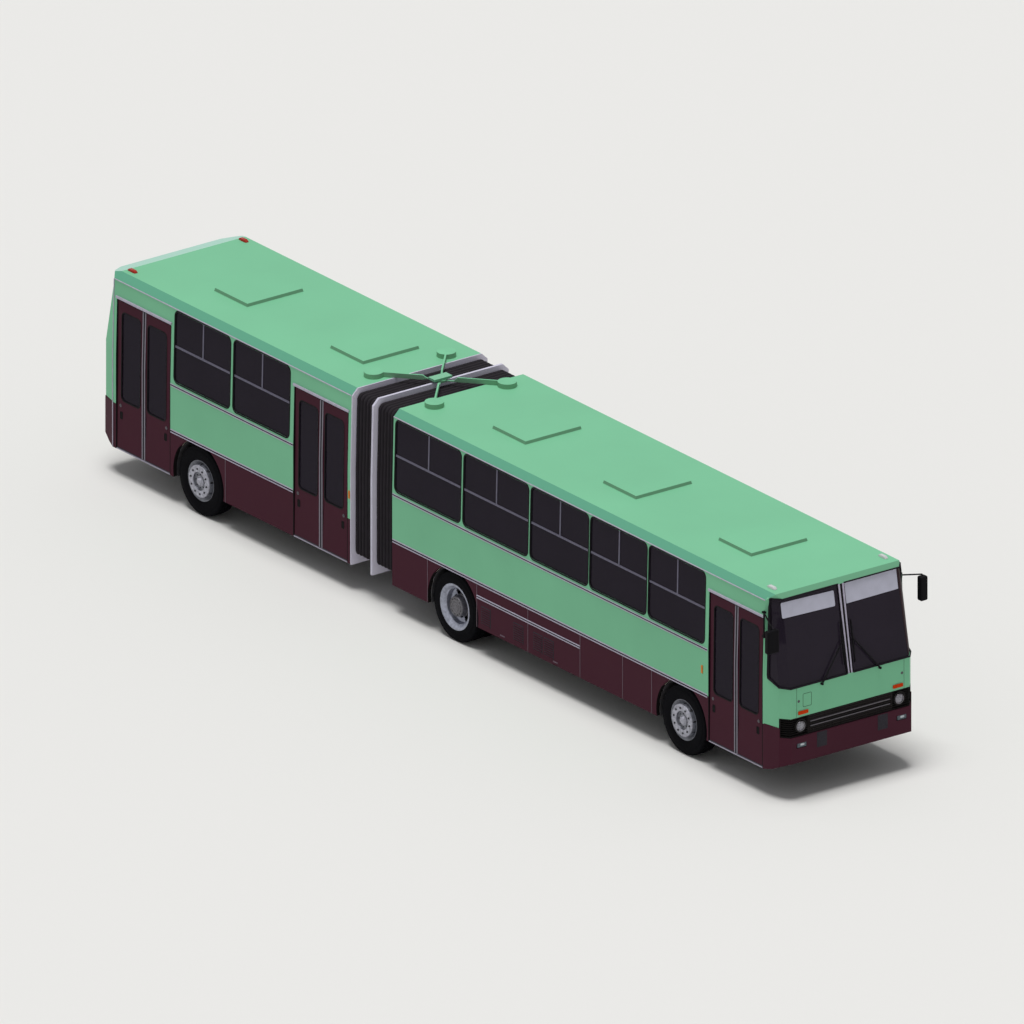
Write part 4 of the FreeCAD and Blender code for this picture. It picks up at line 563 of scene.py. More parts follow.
for door, (s_front, s_rear) in DOORS.items():
    centre = (s_front + s_rear) / 2
    for leaf, jamb, way in (("front", s_front, 1), ("rear", s_rear, -1)):
        body = f"{door}_{leaf}_leaf"
        edge, meet = jamb + way * 0.012, centre - way * 0.008
        hole = rounded_loop(at(edge + way * 0.095), at(meet - way * 0.075), 1.204, 2.580, 0.075)
        rim = rounded_loop(at(edge), at(meet - way * 0.016), LEAF_LOW, LEAF_HIGH, 0.004)
        rings = [skin_ring(line, 0, inset, -1) for line, inset in
                 ((rim, LEAF_OUT), (hole, LEAF_OUT), (hole, LEAF_IN), (rim, LEAF_IN))]
        panel = piece(f"{body}_panel", [solid(rings, closed=True)], maroon_enamel, body,
                      bevel=0.003)
        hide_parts(body)
        piece(f"{body}_pane", [pane(hole, 0.022, -1, -0.002)], tinted_glass, body)
        piece(f"{body}_pane_seal", [seal(hole, leaf_rubber, -1)], seal_rubber, body,
              smooth=50)
        inner = meet - way * 0.0175
        foot = ((edge, LEAF_LOW - 0.001), (inner, LEAF_LOW - 0.001), (inner, 0.454), (edge, 0.454))
        lip = leaf_section(lip_line, meet, way)
        lip.append(solid([[(at(s), -(HALF - d), z) for s, z in foot] for d in (0.009, 0.0062)]))
        piece(f"{body}_edge_rubber", lip, edge_rubber, body)
        clamp = leaf_section(clamp_line, meet, way)
        piece(f"{body}_edge_clamp", clamp, edge_metal, body)
        x = at(edge + way * 0.084)
        lock = [drum(x, -LEAF_FACE - 0.0001, 1.117, -1, 0.0, length, radius)
                for length, radius in ((0.004, 0.026), (0.007, 0.013))]
        piece(f"{body}_lock", lock, lock_metal, body)
        x = at(edge + way * 0.104)
        line = rounded_loop(x - 0.031, x + 0.031, 0.912, 1.026, 0.012, 4)
        pull = solid([[(x + nx * grow, -(LEAF_FACE + out), z + nz * grow) for x, z, nx, nz in line]
                      for grow, out in pull_steps])
        piece(f"{body}_pull", [pull], black_trim_and_gap_shadow, body)
        dress(post_steel, f"{door}_{leaf}_post")
        pin = at(jamb + way * 0.250)
        carriers = []
        for z in (0.520, 2.640):
            leaf_back = -(half_width(z) - LEAF_IN) - 0.002
            corners = [(pin - 0.02, leaf_back), (pin + 0.02, leaf_back), (pin + 0.02, POST_FACE),
                       (pin - 0.02, POST_FACE)]
            carriers.append(solid([[(x, y, h) for x, y in corners] for h in (z - 0.018, z - 0.008)]))
        piece(f"{body}_carriers", carriers, post_steel, body)
    body = "front_section" if door == "front_door" else "rear_section"
    ahead = 0.038 if door == "front_door" else 0.02
    over = [rail(s_front - ahead, s_rear + 0.02, 2.760, 2.798, -1, 0.020),
            rail(s_front - 0.006, s_rear + 0.006, SKIRT_LOW, 0.432, -1, -0.001, 0.05)]
    piece(f"{door}_rain_rail", over, trim_metal, body)
    # The strips at the jambs are rubber and painted shadow in the gap; the strip under the rain rail is
    # painted shadow.
    gaps = [rail(s_front - 0.009, s_front + 0.001, 0.430, 2.742, -1, 0.002, 0.05),
            rail(s_rear - 0.001, s_rear + 0.009, 0.430, 2.742, -1, 0.002, 0.05),
            rail(s_front, s_rear, 2.7425, 2.7605, -1, 0.002, 0.05)]
    piece(f"{door}_jamb_rubber_and_gap_shadow", gaps, black_trim_and_gap_shadow, body)

# ---- Nose panel -----------------------------------------------------------------------------
# Pressed steel mask and windscreen frame in the body's two enamels. A flap with two round locks
# opens the mask, and a small lid in it gives access to the filler.
nose_enamel = enamel("nose_enamel", GREEN)
two_tone(nose_enamel, MAROON, lambda p, n, f: f("LESS_THAN", p[2], 1.131))
dress(nose_enamel, "nose_panel", "tail_panel")
bumper_enamel = enamel("bumper_enamel", (0.0660, 0.0175, 0.0300), 0.38, grain=0.9, mottle=0.06)
dress(bumper_enamel, "front_bumper")
seam_green = coating("seam_green", (0.050, 0.125, 0.080), 0.5, grain=30, mottle=0.1)
LOCK_Z = 1.528


def plate(line, x, thick):
    """Flat plate facing forward from a closed line of (y, z) points."""
    return solid([[(x, y, z) for y, z, _, _ in line], [(x + thick, y, z) for y, z, _, _ in line]])


def outline(line, width, x, thick):
    """Thin raised line along a closed line of (y, z) points, facing forward."""
    rings = [[(x + t, y + ny * g, z + nz * g) for y, z, ny, nz in line]
             for t, g in ((0, 0), (thick, 0), (thick, -width), (0, -width))]
    return solid(rings, closed=True)


def bead(y, z0, z1, x, thick):
    """Upright raised line 6 mm wide, facing forward."""
    return plate(rounded_loop(y - 0.003, y + 0.003, z0, z1, 0.001, 1), x, thick)


def turned(x, y, z, profile, count=28):
    """Round shape turned about a line that points forward, from (forward, radius) points."""
    return solid([[(x + o, y + a, z + b) for a, b in circle(r, count)] for o, r in profile])


def button(x, y, z, length, radius):
    """Round button facing forward, with an eased rim."""
    return turned(x, y, z, ((0, radius), (length * 0.6, radius), (length, radius * 0.85)))


seams = [outline(rounded_loop(-0.86, -0.70, 1.42, 1.63, 0.02, 4), 0.008, NOSE - 0.0005, 0.0015)]
seams += [bead(y, 1.285, 1.742, NOSE - 0.0005, 0.0015) for y in (-0.972, 0.972)]
piece("mask_seams", seams, seam_green, "front_section")
locks = [button(NOSE - 0.0002, y, LOCK_Z, 0.006, 0.021) for y in (-0.935, 0.935)]
locks += [button(NOSE + 0.004, y, LOCK_Z, 0.004, 0.008) for y in (-0.935, 0.935)]
piece("mask_locks", locks, lock_metal, "front_section")

# ---- Windscreen -----------------------------------------------------------------------------
# Two bent laminated panes either side of a slim post with bright cover strips, set in black
# rubber that runs round the corners. Behind the glass hang the blank destination board and the
# driver's pale sun blind.
SCREEN_FOOT, SCREEN_HIGH, SCREEN_LEAN = 1.745, 1.335, 0.235
RAKE = SCREEN_LEAN / SCREEN_HIGH
INNER_BEND = (0.0, 1.076), (SCREEN_LEAN, 1.056)
OUTER_BEND = (0.135, 1.192), (0.370, 1.170)
WALL_EDGE = (0.420, 1.250), (0.420, 1.221)
POST_LOW, POST_HIGH = 1.752, 3.070
screen_glass = glass("screen_glass", (0.0235, 0.0175, 0.0285), 0.1)
screen_rubber = coating("screen_rubber", (0.0165, 0.0140, 0.0180), 0.6, grain=40, mottle=0.15, shine=0.05)
blank_board = coating("blank_board", (0.52, 0.52, 0.62), 0.5, grain=6, mottle=0.06)
painted_reflection_brown = coating("painted_reflection_brown", (0.042, 0.026, 0.029), 0.6, grain=20, mottle=0.2, shine=0.04)
dress(screen_glass, "windscreen")


def on_screen(y, z, out):
    """Point on the flat front of the leaning windscreen."""
    return (NOSE - RAKE * (z - SCREEN_FOOT) + out, y, z)


def leaning(edge, z):
    """Station and distance from the middle at a height, on an edge given at its foot and head."""
    t = (z - SCREEN_FOOT) / SCREEN_HIGH
    return [foot + t * (head - foot) for foot, head in zip(*edge)]


def nose_bend(edge, z, side, out=0.004):
    """Point on one of the two upright bends between the screen and the side wall."""
    s, y = leaning(edge, z)
    return (at(s) + out, side * (y + out * 0.5), z)


def nose_side(station, z, side, out=0.004):
    """Point on the corner panel between the outer bend and the side wall."""
    (s0, y0), (s1, y1) = leaning(OUTER_BEND, z), leaning(WALL_EDGE, z)
    y = y0 + (station - s0) / (s1 - s0) * (y1 - y0)
    return (at(station) + out * 0.2, side * (y + out), z)


def cord_line(points, radius, count=10):
    """Round strip through points."""
    points = [Vector(p) for p in points]
    rings = []
    for i, p in enumerate(points):
        ahead, behind = points[min(i + 1, len(points) - 1)] - p, p - points[max(i - 1, 0)]
        way = (ahead.normalized() + behind.normalized()).normalized()
        u = way.cross(Vector((0.31, 0.17, 0.93))).normalized()
        v = way.cross(u)
        rings.append([tuple(p + u * a + v * b) for a, b in circle(radius, count)])
    return solid(rings)


def board(y0, y1, z0, z1, slant, radius):
    """Thin board behind the glass, its lines rising by slant for each metre across."""
    line = [(y, z + slant * (y - y0)) for y, z, _, _ in rounded_loop(y0, y1, z0, z1, radius, 4)]
    return solid([[on_screen(y, z, out) for y, z in line] for out in (-0.0142, -0.0112)])


rubbers = []
for side in (1, -1):
    path = [on_screen(side * 0.055, 1.750, 0.002), nose_bend(INNER_BEND, 1.750, side),
            nose_bend(OUTER_BEND, 1.758, side)]
    path += [nose_side(s, z, side) for s, z in
             ((0.345, 1.852), (0.356, 1.90), (0.374, 2.95), (0.376, 3.066))]
    path += [nose_bend(OUTER_BEND, 3.072, side), nose_bend(INNER_BEND, 3.074, side),
             on_screen(side * 0.055, 3.074, 0.002)]
    rubbers.append(cord_line(path, 0.011))
    corner = [nose_side(s, z, side, -0.004) for s, z in
              ((0.150, 1.760), (0.331, 1.852), (0.342, 1.90), (0.366, 2.95), (0.372, 3.066))]
    rubbers.append(cord_line(corner, 0.0115))
piece("windscreen_rubber", rubbers, screen_rubber, "front_section")
strips = []
for y in (-0.036, 0.036):
    rings = []
    for z in (POST_LOW, POST_HIGH):
        k = (z - POST_LOW) / (POST_HIGH - POST_LOW)
        middle, half = y * (0.72 + 0.28 * k), 0.012 + 0.005 * k
        rings.append([on_screen(middle + half * c, z, out) for c, out in
                      ((-1, 0.0), (-0.8, 0.008), (0.8, 0.008), (1, 0.0))])
    strips.append(solid(rings))
piece("post_covers", strips, trim_metal, "front_section")
bed_line = ((-0.0615, -0.0135), (-0.0615, 0.002), (0.0615, 0.002), (0.0615, -0.0135))
bed = solid([[on_screen(y, z, out) for y, out in bed_line] for z in (POST_LOW, POST_HIGH)])
piece("post_bed", [bed], black_trim_and_gap_shadow, "front_section")
destination = board(-1.085, -0.13, 2.790, 3.022, -0.026, 0.022)
piece("destination_board", [destination], blank_board, "front_section")
blind = board(0.068, 1.010, 2.755, 3.058, 0.008, 0.004)
piece("sun_blind", [blind], blank_board, "front_section")
# Painted reflection: a brown band behind the bent left corner of the glass, for the sheen of the bend seen
# at a glancing angle.
rings = []
for z, start in ((1.768, 1.060), (3.060, 1.014)):
    inside, outside = [[on_screen(start, z, out), nose_bend(INNER_BEND, z, 1, out),
                        nose_bend(OUTER_BEND, z, 1, out)] for out in (-0.0132, -0.0112)]
    rings.append(inside + outside[::-1])
piece("screen_painted_reflection", [solid(rings)], painted_reflection_brown, "front_section")

# ---- Wipers ---------------------------------------------------------------------------------
# Two black sprung arms under pressed shrouds on spindles in the mask, parked beside the post.
# Each carries an upright blade, a rubber strip in a slim steel holder.
wiper_black = coating("wiper_black", (0.0095, 0.0092, 0.0105), 0.5, grain=60, mottle=0.2, shine=0.05)
BLADE_Y = 0.092
eased_top = ((-1, 0), (-1, 0.6), (-0.7, 1), (0.7, 1), (1, 0.6), (1, 0))


def bar(start, end, widths, thick):
    """Flat bar facing forward between two points, with its widths at even steps along it."""
    (x0, y0, z0), (x1, y1, z1) = start, end
    along = math.hypot(y1 - y0, z1 - z0)
    ny, nz = -(z1 - z0) / along, (y1 - y0) / along
    rings = []
    for k, wide in enumerate(widths):
        t = k / (len(widths) - 1)
        x, y, z = x0 + t * (x1 - x0), y0 + t * (y1 - y0), z0 + t * (z1 - z0)
        rings.append([(x + o * thick, y + s * wide / 2 * ny, z + s * wide / 2 * nz) for s, o in eased_top])
    return solid(rings)


def blade(side, z0, z1, out, widths, thick):
    """Upright bar of a blade on the glass, between two heights."""
    return bar(on_screen(side * BLADE_Y, z0, out), on_screen(side * BLADE_Y, z1, out), widths, thick)


wipers = []
for side in (1, -1):
    wipers.append(button(NOSE - 0.001, side * 0.525, 1.712, 0.042, 0.019))
    wipers.append(bar((NOSE + 0.022, side * 0.535, 1.697), on_screen(side * BLADE_Y, 2.250, 0.026),
                      (0.022, 0.027, 0.026, 0.024, 0.022, 0.020, 0.015), 0.013))
    wipers.append(blade(side, 1.900, 2.520, 0.018, (0.008, 0.014, 0.022, 0.026, 0.022, 0.014, 0.008), 0.014))
    wipers.append(blade(side, 1.890, 2.530, 0.002, (0.006, 0.006), 0.019))
wipers = piece("wiper_arms", wipers, wiper_black, "front_section")
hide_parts("wipers")

# ---- Grille and lamps -----------------------------------------------------------------------
# A black pressed grille across the nose, with a square lattice and two bright rails, round
# headlamps at its ends, amber turn lamps above it and recessed fog lamps in the bumper below.
grille_black = coating("grille_black", (0.009, 0.008, 0.008), 0.5, grain=60, mottle=0.25, shine=0.1)
lattice_black = coating("lattice_black", (0.030, 0.025, 0.025), 0.5, grain=60, mottle=0.25, shine=0.1)
bright_rail = coating("bright_rail", (0.130, 0.120, 0.135), 0.35, 0.4, grain=30, mottle=0.15)
chrome = coating("chrome", (0.20, 0.19, 0.21), 0.18, 0.9, grain=30, mottle=0.05, dent=0.03)
lamp_glass = coating("lamp_glass", (0.300, 0.295, 0.330), 0.14, grain=45, mottle=0.5, dent=0.5, fine=160)
lamp_glass.node_tree.nodes["Principled BSDF"].inputs["Coat Weight"].default_value = 0.3
fog_grey = coating("fog_grey", (0.098, 0.125, 0.145), 0.3, mottle=0.25, dent=0.2)
fog_lens = coating("fog_lens", (0.55, 0.60, 0.63), 0.2, mottle=0.3, dent=0.3)
turn_lens = coating("turn_lens", (0.60, 0.044, 0.001), 0.3, grain=120, mottle=0.2, shine=0.05)
step_grey = coating("step_grey", (0.031, 0.028, 0.036), 0.6, mottle=0.3, dent=0.5, shine=0.1)
LATTICE_X, LATTICE_PITCH, LATTICE_ROW = NOSE - 0.034, 0.030, 0.0312
LAMP_Y, LAMP_Z, TURN_Y, FOG_Y, FOG_SHIFT = 0.893, 1.131, 0.858, 0.905, 0.016
bezel_line = [(0, 0.083), (0.022, 0.081), (0.030, 0.076), (0.026, 0.069), (0.012, 0.067), (0, 0.068)]
dress(grille_black, "grille")


def box_line(y, z, half_wide, half_high, radius, steps):
    """Closed line of a rectangle with round corners about a middle."""
    return rounded_loop(y - half_wide, y + half_wide, z - half_high, z + half_high, radius, steps)


def dome(x, y, z, radius, rise):
    """Round lens facing forward, its edge let in by 20 mm."""
    turns = [math.pi / 2 * i / 7 for i in range(7)]
    crown = [(rise * math.sin(turn), radius * math.cos(turn)) for turn in turns]
    return turned(x, y, z, [(-0.02, radius)] + crown, 40)


def hoop(x, y, z, profile, count=48):
    """Closed profile of (forward, radius) points turned into a ring that faces forward."""
    rings = [[(x + o, y + r * a, z + r * b) for o, r in profile] for a, b in circle(1, count)]
    return solid(rings, closed=True)


lattice = [plate(box_line(0, 1.005 + k * LATTICE_ROW, 0.755, 0.003, 0.001, 1), LATTICE_X, 0.030)
           for k in range(9)]
lattice += [bead(-0.75 + k * LATTICE_PITCH, 1.000, 1.260, LATTICE_X, 0.028) for k in range(51)]
piece("grille_lattice", lattice, lattice_black, "front_section")
rails = [plate(box_line(-0.005, z, 0.722, 0.007, 0.005, 4), NOSE - 0.012, 0.020) for z in (1.101, 1.173)]
piece("grille_rails", rails, bright_rail, "front_section")
bezels, lenses, turns, fogs, glows = [], [], [], [], []
for side in (-1, 1):
    bezels.append(hoop(NOSE - 0.03, side * LAMP_Y, LAMP_Z, bezel_line))
    lenses.append(dome(NOSE - 0.018, side * LAMP_Y, LAMP_Z, 0.068, 0.018))
    turns.append(plate(box_line(side * TURN_Y, 1.345, 0.090, 0.027, 0.008, 3), NOSE + 0.0005, 0.014))
    fog = side * FOG_Y + FOG_SHIFT
    fogs.append(plate(box_line(fog, 0.858, 0.086, 0.040, 0.010, 3), NOSE + 0.006, 0.020))
    glows.append(plate(box_line(fog, 0.858, 0.036, 0.016, 0.014, 4), NOSE + 0.0262, 0.002))
lamps = piece("headlamp_bezels", bezels, chrome, "front_section")
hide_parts("front_lamps")
piece("headlamp_lenses", lenses, lamp_glass, "front_section")
piece("turn_lamps", turns, turn_lens, "front_section", bevel=0.003)
piece("fog_lamp_housings", fogs, fog_grey, "front_section", bevel=0.003)
piece("fog_lamp_lenses", glows, fog_lens, "front_section")
steps = [plate(rounded_loop(y - 0.09, y + 0.09, 0.747, 0.980, 0.006, 2), NOSE + 0.0295, 0.004)
         for y in (-0.536, 0.564)]
piece("bumper_steps", steps, step_grey, "front_section")

# ---- Tail -----------------------------------------------------------------------------------
# One wide bonded pane in rubber, stacked round-cornered lamps at the corners, and a maroon lower
# panel with two joints and a blank plate in its holder.
tail_red = coating("tail_red", (0.42, 0.012, 0.008), 0.25, grain=120, mottle=0.2)
tail_amber = coating("tail_amber", (0.62, 0.16, 0.01), 0.25, grain=120, mottle=0.2)
TAIL = NOSE - 16.44
tail_rubber = ((0.012, 0.000), (0.010, 0.006), (-0.004, 0.008), (-0.014, 0.002), (-0.014, -0.012),
               (-0.001, -0.012))


def tail_x(z, out):
    """Place so far behind the tail's skin, which leans forward above 2 m."""
    return TAIL - out + (0.020 * (z - 2.0) / 1.06 if z > 2.0 else 0)


line = rounded_loop(-0.860, 0.860, 1.800, 2.880, 0.110)
strip = solid([[(tail_x(z + nz * grow, out), y + ny * grow, z + nz * grow) for grow, out in tail_rubber]
               for y, z, ny, nz in line], closed=True)
piece("rear_window_seal", [strip], seal_rubber, "rear_section", smooth=50)
tail_glass = solid([[(tail_x(z, out), y - ny * 0.004, z - nz * 0.004) for y, z, ny, nz in line]
                    for out in (-0.006, -0.011)])
piece("rear_pane", [tail_glass], tinted_glass, "rear_section")
reds, ambers, beds = [], [], []
for side in (1, -1):
    for z, high, group in ((1.200, 0.150, reds), (1.360, 0.110, ambers), (1.480, 0.110, reds)):
        line = rounded_loop(side * 0.960, side * 1.060, z, z + high, 0.014, 4)
        group.append(plate(line, TAIL - 0.016, 0.0155))
    line = rounded_loop(side * 0.950, side * 1.070, 1.190, 1.600, 0.018, 4)
    beds.append(plate(line, TAIL - 0.004, 0.0045))
lamps = piece("tail_lamps_red", reds, tail_red, "rear_section", bevel=0.003)
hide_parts("rear_lamps")
piece("tail_lamps_amber", ambers, tail_amber, "rear_section", bevel=0.003)
piece("tail_lamp_beds", beds, black_trim_and_gap_shadow, "rear_section")
holder = plate(rounded_loop(-0.275, 0.275, 0.790, 0.915, 0.012, 4), TAIL - 0.006, 0.0065)
piece("tail_plate_holder", [holder], black_trim_and_gap_shadow, "rear_section", bevel=0.002)
blank = plate(rounded_loop(-0.260, 0.260, 0.803, 0.902, 0.008, 4), TAIL - 0.008, 0.0085)
piece("tail_plate_blank", [blank], blank_board, "rear_section")
joints = [bead(y, 0.640, 1.128, TAIL - 0.001, 0.0015) for y in (-0.83, 0.83)]
piece("tail_joints", joints, louvre_shadow, "rear_section")

# ---- Roof and hatches -----------------------------------------------------------------------
# Welded roof skin in the pale green, its eaves folded at forty-five degrees, with flat sheet
# hatch lids on hinges. Low moulded marker lamps stand at the corners, clear in front and red
# behind.
ROOF_GREEN = (0.2055, 0.547, 0.325)
roof_paint = {"roughness": 0.42, "grain": 0.5, "dent": 0.08, "fine": 220}
roof_enamel_painted_light = enamel("roof_enamel_painted_light", ROOF_GREEN, **roof_paint)
two_tone(roof_enamel_painted_light, CREAM, lambda p, n, f: f("LESS_THAN", n[2], -0.3))
# Painted shade: a darker green on the eave slopes.
two_tone(roof_enamel_painted_light, (0.134, 0.402, 0.266), lambda p, n, f: f(
    "MULTIPLY", f("GREATER_THAN", f("ABSOLUTE", n[1]), 0.35), f("GREATER_THAN", n[2], 0.1)))
# Painted highlight: a paler green on the slope down to the tail.
two_tone(roof_enamel_painted_light, (0.396, 0.643, 0.542), lambda p, n, f: f(
    "MULTIPLY", f("LESS_THAN", n[0], -0.1), f("GREATER_THAN", n[2], 0.1)))
# Painted shade: a darker green on the slope down to the front edge.
two_tone(roof_enamel_painted_light, (0.153, 0.372, 0.225), lambda p, n, f: f(
    "MULTIPLY", f("GREATER_THAN", n[0], 0.3), f("GREATER_THAN", n[2], 0.1)))
hatch_enamel_painted_shade = enamel("hatch_enamel_painted_shade", ROOF_GREEN, **roof_paint)
# Painted shade: a darker green on the hatch lids' sides.
two_tone(hatch_enamel_painted_shade, (0.190, 0.370, 0.240), lambda p, n, f: f("LESS_THAN", n[2], 0.5))
dress(roof_enamel_painted_light, "front_roof", "rear_roof")
dress(hatch_enamel_painted_shade, "front_hatches", "rear_hatches")
marker_clear = coating("marker_clear", (0.60, 0.62, 0.62), 0.2, grain=120, mottle=0.2)
marker_red = coating("marker_red", (0.36, 0.020, 0.006), 0.25, grain=120, mottle=0.2)
MARKER_FOOT = 3.1405
half_marker = ((-0.092, 0.004, 0.024), (-0.080, 0.020, 0.030), (-0.058, 0.0325, 0.034))
marker_rise = half_marker + tuple((-x, high, half) for x, high, half in reversed(half_marker))
marker_top = ((-1, 0), (-0.95, 0.6), (-0.7, 1), (0.7, 1), (0.95, 0.6), (1, 0))
for section, station, lens in (("front", 0.550, marker_clear), ("rear", 16.000, marker_red)):
    shapes = [solid([[(at(station) + x, y + half * c, MARKER_FOOT + high * s) for c, s in marker_top]
                     for x, high, half in marker_rise]) for y in (-1.005, 1.005)]
    piece(f"{section}_roof_markers", shapes, lens, f"{section}_section")

# ---- Roof links -----------------------------------------------------------------------------
# Four flat steel arms from round rubber-bushed pads to a centre pin. They keep the middle hoop
# halfway between the two bodies, and are sprayed with the roof.
link_enamel_painted_shade = coating("link_enamel_painted_shade", ROOF_GREEN, 0.45, grain=3, mottle=0.08, dent=0.1, shine=0.04)
# Painted shade: a darker green on faces of the arms and pads that do not face up.
two_tone(link_enamel_painted_shade, (0.225, 0.445, 0.280), lambda p, n, f: f("LESS_THAN", n[2], 0.5))
dress(link_enamel_painted_shade, "roof_link_front", "roof_link_rear")

# ---- Hoops and turntable --------------------------------------------------------------------
# Rolled aluminium hoops clamp the ends of the bellows. A chequered plate on the turntable
# carries the passage.
hoop_grey_painted_light = coating("hoop_grey_painted_light", (0.62, 0.60, 0.72), 0.45, 0.05, grain=15, mottle=0.1, dent=0.08)
# Painted light: a paler grey on faces that look forward.
two_tone(hoop_grey_painted_light, (0.88, 0.84, 0.98), lambda p, n, f: f("GREATER_THAN", n[0], 0.7))
two_tone(hoop_grey_painted_light, (0.20, 0.50, 0.31), lambda p, n, f: f("GREATER_THAN", p[2], 3.176))
plate_steel = coating("plate_steel", (0.22, 0.22, 0.23), 0.5, 0.6, grain=40, mottle=0.25, dent=0.5, fine=90)
dress(hoop_grey_painted_light, "front_hoop", "rear_hoop", "middle_hoop")
dress(plate_steel, "turntable")

# ---- Bellows --------------------------------------------------------------------------------
# Folds of coated fabric sewn edge to edge and clamped in thin frames, charcoal, soft at every
# ridge. Each fold is built in place as a piece of its own and rides on no body.
bellows_cloth = coating("bellows_cloth", (0.0155, 0.0125, 0.0165), 0.8, grain=7, mottle=0.25, dent=0.6,
                        fine=700)
FOLDS = 6
BELLOWS_LOW, CREST = 0.56, 0.064
ROOF_FLAT, ROOF_TOP = 1.12, 3.14
fold_half = [(0, 0.108), (0.10, 0.084), (0.25, 0.070), (0.42, 0.064)]
fold_line = fold_half + [(1 - t, inset) for t, inset in reversed(fold_half)]
fold_line += [(1, 0.116), (0.88, 0.096), (0.70, 0.080), (0.5, 0.076), (0.30, 0.080), (0.12, 0.096),
              (0, 0.116)]
HALVES = (("front", 9.4205, 9.8835, "front_section", "articulation_ring"),
          ("rear", 9.9265, 10.3955, "articulation_ring", "rear_section"))


def hoop_line(inset, low, corner=0.07, steps=5):
    """Outline of the body across the bus, moved in by inset, with round corners."""
    wall, eave, fall = HALF - inset, half_width(EAVES) - inset, inset * 0.42
    sharp = [(-wall, low), (-wall, BEND), (-eave, EAVES - fall), (-(ROOF_FLAT - fall), ROOF_TOP - inset)]
    sharp += [(-y, z) for y, z in reversed(sharp)]
    line = []
    for i, (y, z) in enumerate(sharp):
        (ay, az), (by, bz) = sharp[i - 1], sharp[(i + 1) % len(sharp)]
        a, b = math.hypot(ay - y, az - z), math.hypot(by - y, bz - z)
        r = min(corner, a * 0.45, b * 0.45)
        p = (y + (ay - y) / a * r, z + (az - z) / a * r)
        q = (y + (by - y) / b * r, z + (bz - z) / b * r)
        for k in range(steps + 1):
            t = k / steps
            line.append(tuple((1 - t) ** 2 * u + 2 * t * (1 - t) * v + t * t * w
                              for u, v, w in zip(p, (y, z), q)))
    return line


def ease_back(share):
    """The place at which the smooth turn has reached that share."""
    low, high = 0.0, 1.0
    for _ in range(40):
        mid = (low + high) / 2
        low, high = (mid, high) if mid * mid * (3 - 2 * mid) < share else (low, mid)
    return (low + high) / 2


for word, s0, s1, body, next_body in HALVES:
    for i in range(FOLDS):
        p0, p1 = s0 + (s1 - s0) * i / FOLDS, s0 + (s1 - s0) * (i + 1) / FOLDS
        lines = [[(at(p0 + (p1 - p0) * t), y, z) for y, z in hoop_line(inset, BELLOWS_LOW + inset - CREST)]
                 for t, inset in fold_line]
        fold = piece(f"bellows_{word}_fold_{i + 1}", [solid(list(zip(*lines)), closed=True)], bellows_cloth,
                     None, smooth=50)
        t0, t1 = ease_back(i / FOLDS), ease_back((i + 1) / FOLDS)
        length = (p1 - p0) / (t1 - t0)
        start = p0 - t0 * length
        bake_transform(fold)
        if i == 0:
            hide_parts(f"bellows_{word}")

# ---- Seats ----------------------------------------------------------------------------------
# Double seats on a boxed plinth: moulded shells with foam pads in brown leatherette, sewn with a
# welt round the edge and two cross seams. One seat pad and one back pad are stuffed, and every
# seat gets a copy of them.
seat_hide = coating("seat_hide", (0.115, 0.045, 0.026), 0.45, grain=9, mottle=0.2, dent=0.5, fine=420)
plinth_grey = coating("plinth_grey", (0.12, 0.12, 0.13), 0.6, grain=20, mottle=0.15)
SEATS = {"front": {-1: (3.40, 4.15, 4.90, 5.65, 6.40, 7.15, 8.69),
                   1: (3.25, 4.00, 4.75, 5.50, 6.25, 7.00, 8.69)},
         "rear": {-1: (12.15, 12.90), 1: (10.95, 11.70, 12.45, 13.20, 14.84, 15.59)}}
SEAT_WIDE, SEAT_PITCH = 0.395, 0.425
PAD_EDGE, PAD_CROWN, PAD_WAIST, PAD_CORNER = 0.26, 0.20, 0.035, 0.03
VOXEL, PUFF, PUFF_FRAMES, PAD_FACES = 0.010, 4.0, 20, 2200
SEAM_DEEP, SEAM_WIDE, WELT = 0.16, 0.009, 0.0042
plinth_line = ((-0.06, 0.900), (0.15, 0.900), (0.17, 1.300), (-0.06, 1.300))
shell_line = ((-0.200, 1.300), (0.235, 1.325), (0.235, 1.345), (-0.170, 1.325), (-0.222, 1.925),
              (-0.245, 1.925))
welt_line = ((1, 0), (0.5, 0.87), (-0.5, 0.87), (-1, 0), (-0.5, -0.87), (0.5, -0.87))


def uncut_pad(along, across, thick, n=20):
    """Crowned block of foam lying at the origin, its sides pulled in between the corners."""
    verts, faces, m = [], [], n + 1
    for way in (1, -1):
        for i in range(m):
            for j in range(m):
                u, v = math.sin((i / n - 0.5) * math.pi), math.sin((j / n - 0.5) * math.pi)
                h = thick * (PAD_EDGE + PAD_CROWN * (1 - abs(u) ** 3) * (1 - abs(v) ** 3)) * way
                pull = 1 - PAD_WAIST * (1 - abs(u)) * abs(v) - PAD_WAIST * (1 - abs(v)) * abs(u)
                verts.append((u * along / 2 * pull, v * across / 2 * pull, h))
    for first in (0, m * m):
        corners = [first + i * m + j for i in range(n) for j in range(n)]
        faces += [(a, a + 1, a + m + 1, a + m) for a in corners]
    rim = list(range(m)) + [i * m + n for i in range(1, m)] + [n * m + n - i for i in range(1, m)]
    rim += [(n - i) * m for i in range(1, n)]
    faces += [(a, b, b + m * m, a + m * m) for a, b in zip(rim, rim[1:] + rim[:1])]
    return verts, faces


